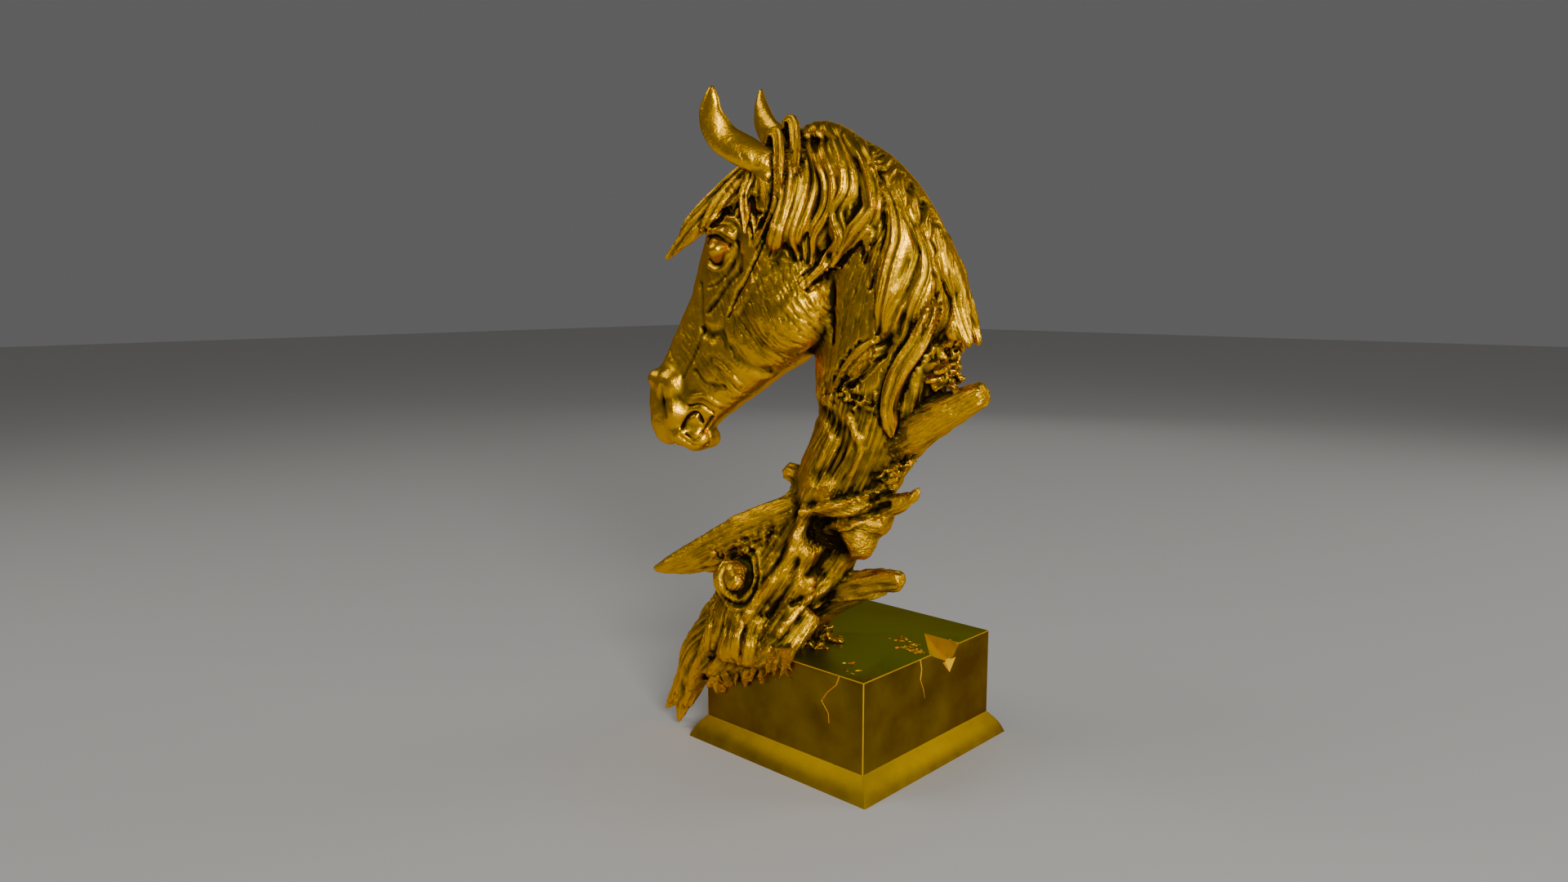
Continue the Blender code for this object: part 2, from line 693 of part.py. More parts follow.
def build_casting():
    rng = random.Random(7)
    bm = bmesh.new()
    add_head(bm)
    add_driftwood(bm)
    casting = remesh(add_object("horse_and_driftwood", bm), CORE_VOXEL, CORE_SMOOTHING)
    tree = body_tree(casting)
    bm = bmesh.new()
    for side in (-1, 1):
        add_mane(bm, tree, side, rng)
    add_crest(bm)
    add_back_flap(bm)
    for rows in EARS:
        add_ear(bm, rows)
    for rows in FORELOCK:
        sweep(bm, rows, FORELOCK_FACE)
    for rows in POLL_CURLS + THROAT_LOCKS:
        sweep(bm, rows, CURL_FACE)
    add_grain(bm, rng)
    add_splinters(bm, rng)
    bm.from_mesh(casting.data)
    skin = add_object("skin", bm)
    casting.data = skin.data
    bpy.data.objects.remove(skin)
    remesh(casting, SKIN_VOXEL, SKIN_SMOOTHING)
    tree = body_tree(casting)
    strokes = []
    for side in (-1, 1):
        strokes += side_strokes(tree, HEAD_STROKES, side)
        strokes += side_strokes(tree, WOOD_STROKES, side, 1 if side < 0 else FAR_WOOD_SHARE)
    carve(casting.data, strokes)
    foot = (FOOT_FROM_LEFT - PLINTH_SIDE / 2, FOOT_FROM_FRONT - PLINTH_SIDE / 2, PLINTH_TOP)
    place = Matrix.Translation(foot) @ Matrix.Rotation(FIGURE_TURN, 4, "Z") @ Matrix.Scale(UNIT, 4)
    casting.data.transform(place)
    thin = casting.modifiers.new("facets", "DECIMATE")
    thin.ratio = CASTING_TRIANGLES / (2 * len(casting.data.polygons))
    settle(casting)
    casting.data.materials.append(finish_material("antique_gold", CASTING_COLOUR, CASTING_ROUGHNESS))
    return casting


def outline(bm, half, height):
    return [bm.verts.new((x * half, y * half, height)) for x, y in ((-1, -1), (1, -1), (1, 1), (-1, 1))]


def add_block(name, extra):
    """The plinth's upright block, larger all round by extra, as a solid of its own."""
    bm = bmesh.new()
    size = Vector((PLINTH_SIDE + 2 * extra, PLINTH_SIDE + 2 * extra, PLINTH_TOP + extra, 1))
    place = Matrix.Translation((0, 0, (PLINTH_TOP + extra) / 2)) @ Matrix.Diagonal(size)
    bmesh.ops.create_cube(bm, size=1, matrix=place)
    return add_object(name, bm)


def build_plinth():
    bm = bmesh.new()
    half = PLINTH_SIDE / 2
    levels = []
    for k in range(SKIRT_STEPS + 1):
        share = k / SKIRT_STEPS
        bulge = SKIRT_BULGE * math.sin(math.pi * share)
        levels.append((half + SKIRT_FLARE * (1 - share) + bulge, SKIRT_HEIGHT * share))
    levels.append((half, PLINTH_TOP))
    rings = [outline(bm, wide, height) for wide, height in levels]
    for low, high in zip(rings, rings[1:]):
        for i in range(4):
            j = (i + 1) % 4
            bm.faces.new((low[i], low[j], high[j], high[i]))
    bm.faces.new(rings[0])
    bm.faces.new(rings[-1])
    plinth = add_object("plinth", bm)
    plinth.data.materials.append(finish_material("antique_gold_plinth", PLINTH_COLOUR, PLINTH_ROUGHNESS))
    return plinth


def cut(obj, cutter, operation="DIFFERENCE"):
    cutter.hide_render = True
    cutter.display_type = "WIRE"
    boolean = obj.modifiers.new(cutter.name, "BOOLEAN")
    boolean.operation = operation
    boolean.object = cutter
    boolean.solver = "EXACT"


def hull(name, points):
    """A closed solid round a few points."""
    bm = bmesh.new()
    for point in points:
        bm.verts.new(point)
    bmesh.ops.convex_hull(bm, input=bm.verts)
    return add_object(name, bm)


def chip_cutters():
    """The broken place on the plinth's top edge: a slanted facet, and a notch that runs on down."""
    edge = PLINTH_SIDE / 2
    front = CHIP_START - edge
    back = front + CHIP_LENGTH
    low = front + CHIP_LENGTH * 0.6
    above = PLINTH_TOP + CHIP_DROP * 0.1
    outside = edge + CHIP_DROP * 0.2
    facet = hull(
        "chip_facet",
        (
            (edge - CHIP_REACH, back + CHIP_LENGTH * 0.15, above),
            (edge - CHIP_REACH, front + CHIP_LENGTH * 0.3, above),
            (edge - CHIP_REACH * 0.12, front, above),
            (outside, front, above),
            (outside, back, above),
            (outside, low, PLINTH_TOP - CHIP_DROP),
            (edge - CHIP_REACH * 0.4, low, PLINTH_TOP - CHIP_DROP * 0.3),
        ),
    )
    notch = hull(
        "chip_notch",
        (
            (outside, low - NOTCH_WIDTH, PLINTH_TOP - CHIP_DROP * 0.5),
            (outside, low + NOTCH_WIDTH, PLINTH_TOP - CHIP_DROP * 0.5),
            (edge - NOTCH_WIDTH, low, PLINTH_TOP - CHIP_DROP * 0.5),
            (outside, low + NOTCH_WIDTH * 0.2, PLINTH_TOP - NOTCH_DROP),
        ),
    )
    return facet, notch


def crack_cutter(name, corner, along, out, shifts, length):
    """A thin groove that zigzags down a face. shifts: sideways places at even steps down."""
    bm = bmesh.new()
    lower = []
    for k, shift in enumerate(shifts):
        drop = length * k / (len(shifts) - 1)
        wide = CRACK_WIDTH / 2 * (1 - 0.6 * k / (len(shifts) - 1))
        spot = Vector(corner) + Vector(along) * shift - Vector((0, 0, drop))
        lower.append(
            (
                bm.verts.new(spot - Vector(along) * wide + Vector(out) * CRACK_DEPTH),
                bm.verts.new(spot + Vector(along) * wide + Vector(out) * CRACK_DEPTH),
                bm.verts.new(spot - Vector(out) * CRACK_DEPTH),
            )
        )
    for high, low in zip(lower, lower[1:]):
        for i in range(3):
            j = (i + 1) % 3
            bm.faces.new((high[i], high[j], low[j], low[i]))
    bm.faces.new(lower[0])
    bm.faces.new(lower[-1])
    return add_object(name, bm)


def main():
    clear_scene()
    casting = build_casting()
    plinth = build_plinth()
    cut(casting, add_block("seat", SEAT_GAP))
    for cutter in chip_cutters():
        cut(plinth, cutter)
    edge = PLINTH_SIDE / 2
    front = (edge - FRONT_CRACK_FROM_CORNER, -edge, PLINTH_TOP)
    zigzag = [FRONT_CRACK_LENGTH * share for share in (0, -0.08, -0.3, -0.44, -0.27, -0.25)]
    cut(plinth, crack_cutter("front_crack", front, (1, 0, 0), (0, -1, 0), zigzag, FRONT_CRACK_LENGTH))
    side = (edge, CHIP_START - edge - CRACK_WIDTH * 2, PLINTH_TOP)
    zigzag = [SIDE_CRACK_LENGTH * share for share in (0, 0.06, -0.02, 0.08, 0.04)]
    cut(plinth, crack_cutter("side_crack", side, (0, 1, 0), (1, 0, 0), zigzag, SIDE_CRACK_LENGTH))


main()
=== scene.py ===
import json
import math
import random

import bmesh
import bpy
import numpy as np
from mathutils import Matrix, Vector
from mathutils.bvhtree import BVHTree
from mathutils.kdtree import KDTree

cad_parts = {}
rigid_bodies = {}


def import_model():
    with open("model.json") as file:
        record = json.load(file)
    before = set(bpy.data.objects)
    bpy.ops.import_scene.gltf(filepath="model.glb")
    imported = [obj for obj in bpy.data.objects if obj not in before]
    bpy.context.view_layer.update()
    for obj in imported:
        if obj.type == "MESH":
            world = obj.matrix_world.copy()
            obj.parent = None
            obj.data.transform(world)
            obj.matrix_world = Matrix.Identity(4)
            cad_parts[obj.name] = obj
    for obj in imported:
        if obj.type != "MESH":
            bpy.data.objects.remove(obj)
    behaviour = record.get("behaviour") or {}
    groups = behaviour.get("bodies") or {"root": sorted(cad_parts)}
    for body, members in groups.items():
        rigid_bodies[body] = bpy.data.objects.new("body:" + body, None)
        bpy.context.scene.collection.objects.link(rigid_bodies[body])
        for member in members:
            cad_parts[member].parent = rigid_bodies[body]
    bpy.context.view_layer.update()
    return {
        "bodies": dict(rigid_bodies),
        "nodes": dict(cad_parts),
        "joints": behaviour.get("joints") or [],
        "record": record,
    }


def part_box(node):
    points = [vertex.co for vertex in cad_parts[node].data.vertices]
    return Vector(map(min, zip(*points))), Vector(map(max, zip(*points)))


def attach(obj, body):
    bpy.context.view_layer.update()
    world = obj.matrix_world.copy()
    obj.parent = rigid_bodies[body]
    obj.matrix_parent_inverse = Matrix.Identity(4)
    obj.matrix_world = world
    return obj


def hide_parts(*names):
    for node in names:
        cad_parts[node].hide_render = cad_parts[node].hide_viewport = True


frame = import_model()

# The casting is modelled in its own layout and set on the plinth at the end: one unit is a 343rd of
# its height, which is 1 mm here, +X towards the back of the mane, +Y the far side, +Z up from the
# plinth's top.
castingPlace = {
    "height": 0.343,
    "layoutHeight": 343,
    "footFromLeft": 0.045,
    "footFromFront": 0.035,
    "turn": math.radians(20),
    "seatGap": 0.0003,  # its seat is cut this much larger than the block
}
plinthSizes = {
    "skirtFlare": 0.0088,
    "skirtHeight": 0.0143,
    "skirtBulge": 0.0012,
    "skirtSteps": 6,
    "edgeWear": 0.0005,
    "chipStart": 0.059,
    "chipLength": 0.038,
    "chipReach": 0.03,
    "chipDrop": 0.011,
    "chipLowAt": 0.68,  # share of the chip's length
    "notchDrop": 0.021,
    "notchTop": 0.75,  # share of the chip's drop
    "notchWidth": 0.011,
    "notchDepth": 0.004,
    "notchLean": 0.1,  # share of the notch's width
    "crackWidth": 0.0024,
    "crackDepth": 0.0006,
    "crackTaper": 0.6,
    "frontCrackLength": 0.031,
    "frontCrackFromCorner": 0.0178,
    "sideCrackLength": 0.026,
    # how far each crack strays sideways on its way down, as shares of its length
    "frontCrackPath": (0, -0.08, -0.3, -0.44, -0.27, -0.25),
    "sideCrackPath": (0, 0.06, 0.02, 0.14, 0.2),
    # worn places on top, in mm: x, y, radius, number of bites out of the surface
    "roughPatches": (
        (35, 10, 6, 10),
        (42, 6, 7, 12),
        (50, 2, 7, 12),
        (58, -2, 5, 10),
        (40, -46, 5, 4),
        (48, -54, 4, 3),
        (62, 26, 5, 6),
    ),
    "biteRadius": (1.4, 3.2),
    "biteCorners": 9,
    "biteFlatness": 0.45,
    # a face is broken where it leans off square; how bright the broken faces and bevelled edges are,
    # partly bare metal and partly a painted highlight, and the skirt's painted highlight
    "wornFrom": 0.97,
    "brokenWearAndHighlight": 1.2,
    "skirtHighlight": 0.3,
}

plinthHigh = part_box("plinth")[1]
plinthTop = plinthHigh.z
blockHalf = plinthHigh.x - plinthSizes["skirtFlare"]
unit = castingPlace["height"] / castingPlace["layoutHeight"]
castingFoot = (
    castingPlace["footFromLeft"] - blockHalf,
    castingPlace["footFromFront"] - blockHalf,
    plinthTop,
)
castingTurn = Matrix.Rotation(castingPlace["turn"], 4, "Z")
castingMatrix = Matrix.Translation(castingFoot) @ castingTurn @ Matrix.Scale(unit, 4)

# where the grain runs: each limb and lock leaves its cross-sections here for the relief to follow
grainFrames = []
grainPoints = []


# Small tools

def deselectAll():
    bpy.ops.object.select_all(action="DESELECT")


def pick(*objs):
    deselectAll()
    for obj in objs:
        obj.select_set(True)
    bpy.context.view_layer.objects.active = objs[0]


def applyAll(obj):
    pick(obj)
    for modifier in list(obj.modifiers):
        bpy.ops.object.modifier_apply(modifier=modifier.name)


def joinInto(target, *others):
    pick(target, *others)
    bpy.ops.object.join()
    return target


def meshObject(name, bm):
    bmesh.ops.recalc_face_normals(bm, faces=bm.faces)
    mesh = bpy.data.meshes.new(name)
    bm.to_mesh(mesh)
    bm.free()
    obj = bpy.data.objects.new(name, mesh)
    bpy.context.scene.collection.objects.link(obj)
    return obj


def fuse(obj, voxel, smoothing):
    # runs all the shapes of one object together and softens where they meet
    skin = obj.modifiers.new("skin", "REMESH")
    skin.mode = "VOXEL"
    skin.voxel_size = voxel
    soften = obj.modifiers.new("soften", "SMOOTH")
    soften.factor = 0.5
    soften.iterations = smoothing
    applyAll(obj)


def choose(obj, kind, wanted):
    # leaves the object in edit mode with the wanted vertices, edges or faces picked out
    pick(obj)
    bpy.ops.object.mode_set(mode="EDIT")
    bpy.ops.mesh.select_mode(type=kind)
    bpy.ops.mesh.select_all(action="DESELECT")
    bpy.ops.object.mode_set(mode="OBJECT")
    mesh = obj.data
    for part in {"VERT": mesh.vertices, "EDGE": mesh.edges, "FACE": mesh.polygons}[kind]:
        part.select = wanted(part)
    bpy.ops.object.mode_set(mode="EDIT")


def dropCrumbs(obj):
    # deletes whatever isn't joined to the topmost point
    top = max(obj.data.vertices, key=lambda vertex: vertex.co.z).index
    choose(obj, "VERT", lambda vertex: vertex.index == top)
    bpy.ops.mesh.select_linked()
    bpy.ops.mesh.select_all(action="INVERT")
    bpy.ops.mesh.delete(type="VERT")
    bpy.ops.object.mode_set(mode="OBJECT")


def smoothRows(rows, steps):
    # a smooth curve through the rows; what follows x, y and z in a row is never less than its least
    rows = np.array(rows, float)
    padded = np.vstack([2 * rows[0] - rows[1], rows, 2 * rows[-1] - rows[-2]])
    out = []
    for a, b, c, d in zip(padded, padded[1:], padded[2:], padded[3:]):
        square = 2 * a - 5 * b + 4 * c - d
        cube = 3 * b - a - 3 * c + d
        for t in np.arange(steps) / steps:
            out.append(0.5 * (2 * b + (c - a) * t + square * t**2 + cube * t**3))
    out.append(rows[-1])
    out = np.array(out)
    out[:, 3:] = np.maximum(out[:, 3:], rows[:, 3:].min(axis=0))
    return out


def unitVector(v):
    return v / max(np.linalg.norm(v), 1e-9)


def swing(value, power):
    # the power of a cosine or sine, with its sign kept: below 1 it squares an oval off
    return math.copysign(abs(value) ** power, value)


def loft(bm, rings):
    rings = [[bm.verts.new(point) for point in ring] for ring in rings]
    count = len(rings[0])
    for low, high in zip(rings, rings[1:]):
        for i in range(count):
            j = (i + 1) % count
            bm.faces.new((low[i], low[j], high[j], high[i]))
    bm.faces.new(rings[0])
    bm.faces.new(rings[-1])


def sweep(bm, rows, face, sides=24, steps=10, kind="wood"):
    # a tapered limb with an oval section: x, y, z, half width, half thickness
    rows = smoothRows(rows, steps)
    tangents = np.gradient(rows[:, :3], axis=0)
    runs = np.linalg.norm(np.diff(rows[:, :3], axis=0), axis=1)
    along = np.concatenate([[0], np.cumsum(runs)])
    shift = 37.0 * len(grainFrames)
    rings = []
    for i, (row, tangent) in enumerate(zip(rows, tangents)):
        tangent = unitVector(tangent)
        up = np.array(face[i] if np.ndim(face) == 2 else face, float)
        up = unitVector(up - tangent * up.dot(tangent))
        side = np.cross(tangent, up)
        ring = []
        for k in range(sides):
            angle = 2 * math.pi * k / sides
            ring.append(row[:3] + side * (math.cos(angle) * row[3]) + up * (math.sin(angle) * row[4]))
        rings.append(ring)
        grainFrames.append((row[:3], side, up, tangent, along[i], shift, kind))
        for point in ring if kind else ():
            grainPoints.append((point, len(grainFrames) - 1))
    loft(bm, rings)


def addBall(pieces, x, y, z, across, deep, tall):
    deselectAll()
    bpy.ops.mesh.primitive_uv_sphere_add(
        segments=32, ring_count=16, radius=1, location=(x, y, z), scale=(across, deep, tall)
    )
    pieces.append(bpy.context.active_object)


# Head: rows down the face from the poll give distance along, front and back edges across it, and
# the half width at the front and at the back. Pairs are rounded forms on both sides.
head = {
    "poll": (0, 305),
    "slope": math.radians(26.7),
    "boxiness": 0.8,  # 1 is a round section
    "rows": (
        (-4, -8, 16, 9, 11),
        (8, -20, 32, 16, 20),
        (29, -29, 48, 21, 25),
        (50, -32, 60, 23, 28),
        (73, -30, 66, 20, 28),
        (97, -26, 68, 14, 28),
        (112, -24, 64, 12, 27),
        (127, -24, 54, 11, 23),
        (143, -24, 46, 11, 19),
        (161, -24, 36, 12, 16),
        (180, -24, 27, 14, 14),
        (196, -15, 17, 13, 12),
        (205, -6, 6, 9, 9),
    ),
    "pairs": (
        (1, 15, 212, 28, 15, 31),
        (-41, 19, 245, 9, 8.5, 8.5),
        (-41, 17, 257, 15, 9, 5),
        (-12, 16, 284, 18, 11, 16),
        (-82, 9, 159, 12, 9, 12),
        (-94, 7, 163, 7, 6, 7),
        (-78, 9, 142, 9, 10, 12),
        (-76, 8, 128, 10, 9, 8),
        (-66, 5, 125, 11.5, 9, 8.5),
    ),
    "ears": (
        (
            (-2, -18, 291, 8, 6),
            (-22, -24, 301, 10, 5),
            (-35, -27, 309, 9.5, 4.5),
            (-41, -30, 321, 8, 4),
            (-40, -32, 331, 5, 3),
            (-39, -33, 338, 1.5, 1.2),
        ),
        (
            (-4, 16, 300, 8, 6),
            (-20, 21, 312, 10, 5),
            (-30, 24, 322, 9, 4),
            (-34, 26, 333, 6, 3.5),
            (-35, 27, 346, 1.2, 1.2),
        ),
    ),
    # drawn on both sides of the head: x and z along each stroke, radius, height
    "strokes": (
        (((-42, 243.5), (-41, 243.5)), 6.5, 2.4),
        (((-53, 248), (-47, 252), (-40, 252), (-33, 247)), 1.5, -1.9),
        (((-53, 251), (-46, 256), (-39, 256), (-31, 251)), 1.8, 1.5),
        (((-50, 254), (-44, 258.5), (-37, 259), (-31, 255)), 1.3, -1.6),
        (((-53, 256), (-44, 262), (-36, 263), (-27, 262)), 3, 2.2),
        (((-33, 254), (-32, 254)), 4.5, 2),
        (((-52, 239), (-47, 235.5), (-41, 236), (-36, 241), (-33, 246)), 1.4, -1.6),
        (((-53, 235), (-46, 232), (-40, 233), (-34, 238)), 1.9, 1),
        (((-53, 222), (-44, 225), (-35, 232), (-29, 241), (-28, 248)), 2.4, -0.9),
        (((-53, 207), (-44, 216), (-36, 224), (-28, 231), (-26, 240)), 3.5, -1.2),
        (((-56, 195), (-50, 193), (-44, 193), (-40, 187), (-31, 180), (-20, 172), (-12, 170)), 6.5, -1.7),
        (((-60, 224), (-58, 207), (-58, 193), (-65, 177), (-71, 166)), 3, -0.9),
        (((-5, 264), (-12, 245), (-23, 226), (-30, 217), (-37, 204)), 1.8, -1.8),
        (((0, 255), (-8, 236), (-20, 220), (-30, 208)), 5, 1.2),
        (((-16, 266), (-10, 264), (-13, 257)), 2, -1.8),
        (((-86, 158), (-86, 150), (-83, 141)), 3.5, -1),
        (((-81, 164), (-79, 151), (-77, 141)), 3, 0.8),
        (((-78, 122), (-71, 135), (-67, 141), (-62, 142), (-60, 137)), 2, -2.4),
        (((-69, 129), (-63, 126), (-58, 134), (-53, 140)), 1.5, -1.6),
        (((-67, 147), (-59, 148), (-52, 143)), 1.5, -1.4),
        (((-64, 153), (-56, 154), (-47, 148)), 2.5, 1.2),
        (((-73, 128), (-66, 122), (-57, 122)), 1.3, -1.2),
        (((-62, 170), (-54, 162), (-42, 160)), 3, -1.2),
        (((-48, 176), (-40, 171), (-32, 162)), 3, 1.2),
    ),
    # short hair on the cheek and neck runs along these, x and z
    "furLines": (
        ((-17, 232), (-9, 215), (-4, 199)),
        ((-2, 232), (7, 215), (17, 201)),
        ((15, 234), (20, 218), (30, 204)),
        ((-26, 203), (-15, 188), (-1, 179)),
        ((-9, 206), (3, 191), (17, 183)),
        ((-44, 223), (-36, 208), (-32, 193)),
        ((-64, 187), (-51, 172), (-35, 157)),
        ((55, 245), (48, 227), (42, 204)),
        ((-30, 285), (-20, 270), (-12, 250)),
        ((40, 204), (36, 180), (30, 160)),
    ),
    "furStrokes": 900,
    "furSpread": 8,
    "furBend": 0.1,
    "furLength": (6, 12),
    "furRadius": 0.9,
    "furDepth": (-0.15, -0.36),
}


def headPoint(along, across):
    x = head["poll"][0] - along * math.sin(head["slope"]) + across * math.cos(head["slope"])
    z = head["poll"][1] - along * math.cos(head["slope"]) - across * math.sin(head["slope"])
    return x, z


def addHead(bm, pieces, sides=48):
    rings = []
    for along, front, back, frontWidth, backWidth in smoothSections(head["rows"], 4):
        ring = []
        for k in range(sides):
            angle = 2 * math.pi * k / sides
            share = (1 - math.cos(angle)) / 2
            width = frontWidth + (backWidth - frontWidth) * share
            x, z = headPoint(along, front + (back - front) * share)
            ring.append((x, swing(math.sin(angle), head["boxiness"]) * width, z))
        rings.append(ring)
    loft(bm, rings)
    for x, y, z, across, deep, tall in head["pairs"]:
        for side in (-1, 1):
            addBall(pieces, x, side * y, z, across, deep, tall)


def smoothSections(rows, steps):
    rows = np.array(rows, float)
    out = []
    for low, high in zip(rows, rows[1:]):
        for t in np.arange(steps) / steps:
            out.append(low * (1 - t) + high * t)
    out.append(rows[-1])
    return out


# Driftwood: the trunk's middle line runs up into the neck; limbs are branches, roots and stubs, each
# with the way its flat side faces.
sideways = (0, 1, 0)
frontFacing = (0.34, 0.94, 0.2)  # square to the plinth's front, and tipped up
wood = {
    "trunk": (
        (12, 0, 303, 18, 14),
        (38, 0, 274, 34, 18),
        (55, 0, 238, 42, 22),
        (58, 0, 200, 44, 24),
        (55, 0, 165, 41, 25),
        (48, 0, 134, 33, 25),
        (33, 0, 102, 31, 25),
        (20, -1, 74, 29, 25),
        (2, -4, 46, 31, 28),
        (-14, -6, 22, 34, 33),
        (-18, -7, 4, 36, 38),
        (-20, -8, -10, 35, 36),
    ),
    "limbs": {
        "upper branch": (
            sideways,
            (58, 0, 128, 20, 18),
            (84, -7, 142, 14, 14),
            (106, -10, 155, 10, 10),
            (122, -12, 163, 7.5, 8),
        ),
        "broken branch": (sideways, (28, -6, 92, 22, 22), (52, -8, 86, 17, 17), (66, -10, 83, 9, 10)),
        "spike": (sideways, (52, -12, 88, 9, 8), (74, -14, 96, 6, 5), (87, -16, 106, 2, 2)),
        "lower branch": (
            sideways,
            (0, -2, 12, 15, 12),
            (26, -4, 29, 12, 9),
            (52, -5, 42, 9, 8),
            (66, -5, 46, 8, 7),
        ),
        "plank": (
            (0.1, 1, 0.15),
            (12, -12, 84, 15, 9),
            (-24, -18, 68, 16, 7),
            (-54, -19, 53, 13, 5),
            (-79, -19, 43, 8, 4),
            (-93, -19, 38, 2.5, 2),
        ),
        "left root": (
            (0.3, 1, 0),
            (-26, -14, 14, 27, 20),
            (-54, -15, -10, 18, 15),
            (-69, -12, -32, 12, 10),
            (-82, -8, -49, 7, 6),
            (-94, -5, -63, 2, 2),
        ),
        "split root": ((0.3, 1, 0), (-62, -13, -28, 9, 8), (-75, -13, -54, 6, 5), (-79, -13, -68, 2, 2)),
        "front lip": (
            frontFacing,
            (-52, -24, -14, 17, 5),
            (-36, -27, -7, 18, 5),
            (-18, -33, -1, 13, 5),
            (0, -39, 0, 9, 5),
            (14, -43, -1, 5, 3),
        ),
        "front root": (
            frontFacing,
            (-4, -24, 34, 9, 8),
            (-18, -31, 12, 10, 8),
            (-36, -29, -7, 9, 7),
            (-52, -25, -24, 4, 4),
        ),
        "middle root": (
            frontFacing,
            (10, -24, 30, 8, 7),
            (-2, -34, 9, 9, 7),
            (-18, -35, -4, 8, 6),
            (-30, -30, -17, 3, 4),
        ),
        "right root": (
            frontFacing,
            (22, -22, 24, 7, 6),
            (12, -35, 7, 7, 6),
            (0, -40, -2, 6, 5),
            (-8, -38, -10, 3, 3),
        ),
        "back foot": ((0, 1, 0.6), (-14, 16, 22, 22, 14), (-2, 26, 6, 20, 10), (8, 33, -2, 12, 6)),
        "throat stub": (sideways, (12, 2, 100, 8, 8), (-3, 4, 106, 7, 7), (-9, 4, 107, 5.5, 5)),
    },
    # these take the grain of what they lean on
    "grainless": ("front lip", "back foot"),
    "lumps": (
        (69, -6, 46, 6.5, 7, 7.5),
        (45, -12, 72, 14, 12, 16),
        (-29, -31, 42, 12, 9, 14),
        (30, 22, 86, 14, 9, 18),
        (58, 22, 150, 14, 8, 18),
    ),
    # broken wood: x, y, z, radius of each clump
    "clumps": (
        (72, -8, 122, 7),
        (64, -16, 112, 8),
        (94, -8, 184, 10),
        (97, -12, 172, 9),
        (88, 10, 178, 10),
        (46, -20, 158, 8),
    ),
    "clumpPieces": 14,
    "clumpSpread": 0.75,
    "clumpSizes": ((0.35, 0.7), (0.2, 0.45), (0.12, 0.25)),
    "chipTilt": (-0.7, 0.7),
    "chipRoll": (0, 3),
    # raised strands on the trunk: where they start and how long they are, as shares of it
    "fibres": 6,
    "fibreStarts": (0.68, 0.85),
    "fibreLengths": (0.15, 0.5),
    "fibreTwist": (-0.6, 0.6),
    "fibreSunk": (0.95, 1.0),
    "fibreHalfWidth": 2.2,
    # splinters that hang down the plinth's front, lower and lower towards the left
    "splinters": 56,
    "splinterSpan": (-48, 16),
    "splinterDrop": (5.6, 14),
    "splinterLean": (-7, 4),
    "splinterWidth": (0.8, 1.9),
    "splinterProud": (1.5, 4),
    "splinterFall": -26,
    # middle and reach of the foot on the plinth, and the bark flakes round it
    "foot": (-14, -2, 36, 34),
    "flakes": 60,
    "flakeAngles": (-0.6, 2.6),
    "flakeReach": (0.92, 1.2),
    "flakeHeights": (0, 2),
    "flakeSizes": ((3, 7), (1, 2.2), (0.8, 1.6)),
    # rough broken bark: x, z, radius
    "rubble": (
        (98, 188, 13),
        (100, 172, 11),
        (28, 157, 10),
        (44, 163, 11),
        (62, 156, 10),
        (-42, 56, 9),
        (-24, 62, 10),
        (-8, 72, 10),
        (66, 112, 8),
        (78, 118, 8),
    ),
    "rubbleDepth": 1.6,
    # the knot: x, z, half width, half height, lean, then radius and height of its rim, moat and ball
    "knot": (-24.5, 45, 11, 14, 0.15),
    "knotRim": (2.6, 1.4),
    "knotMoat": (2, -1.3),
    "knotBall": (7.5, 2.5),
    # on the near side: x and z along each stroke, radius, height
    "strokes": (
        (((26, 74), (32, 62), (27, 50)), 15, -8),
        (((67, 104), (50, 98), (32, 92), (17, 87)), 4.5, 3.4),
        (((66, 95), (50, 87), (36, 83), (25, 79)), 4, -2.6),
        (((38, 78), (47, 81)), 2.2, 2.5),
        (((23, 150), (37, 138), (36, 121), (26, 110)), 9, -3),
        (((44, 146), (52, 128), (46, 112)), 4, 2),
        (((17, 98), (28, 104)), 12, 2.5),
        (((17, 88), (12, 71), (6, 56), (-4, 40), (-14, 25)), 6, 4),
        (((14, 58), (8, 40), (-2, 24)), 3, -1.5),
        (((23, 45), (17, 30), (6, 15)), 4.5, 2.5),
        (((-30, 24), (-18, 22), (-8, 18)), 8, 1.5),
        (((-43, 9), (-50, -8), (-61, -29), (-69, -49)), 6, 2.5),
        (((-19, 18), (-27, -1), (-46, -32)), 7, 2),
        (((-33, 14), (-40, -4), (-54, -30)), 3.5, -2),
        (((11, 31), (24, 38), (46, 41), (70, 44)), 2.2, -1.2),
        (((6, 20), (23, 28), (41, 32), (62, 37)), 2.2, 1.6),
        (((66, 190), (54, 176), (38, 165)), 7, -2.5),
        (((30, 240), (31, 215), (31, 190)), 3.5, -2.2),
    ),
}


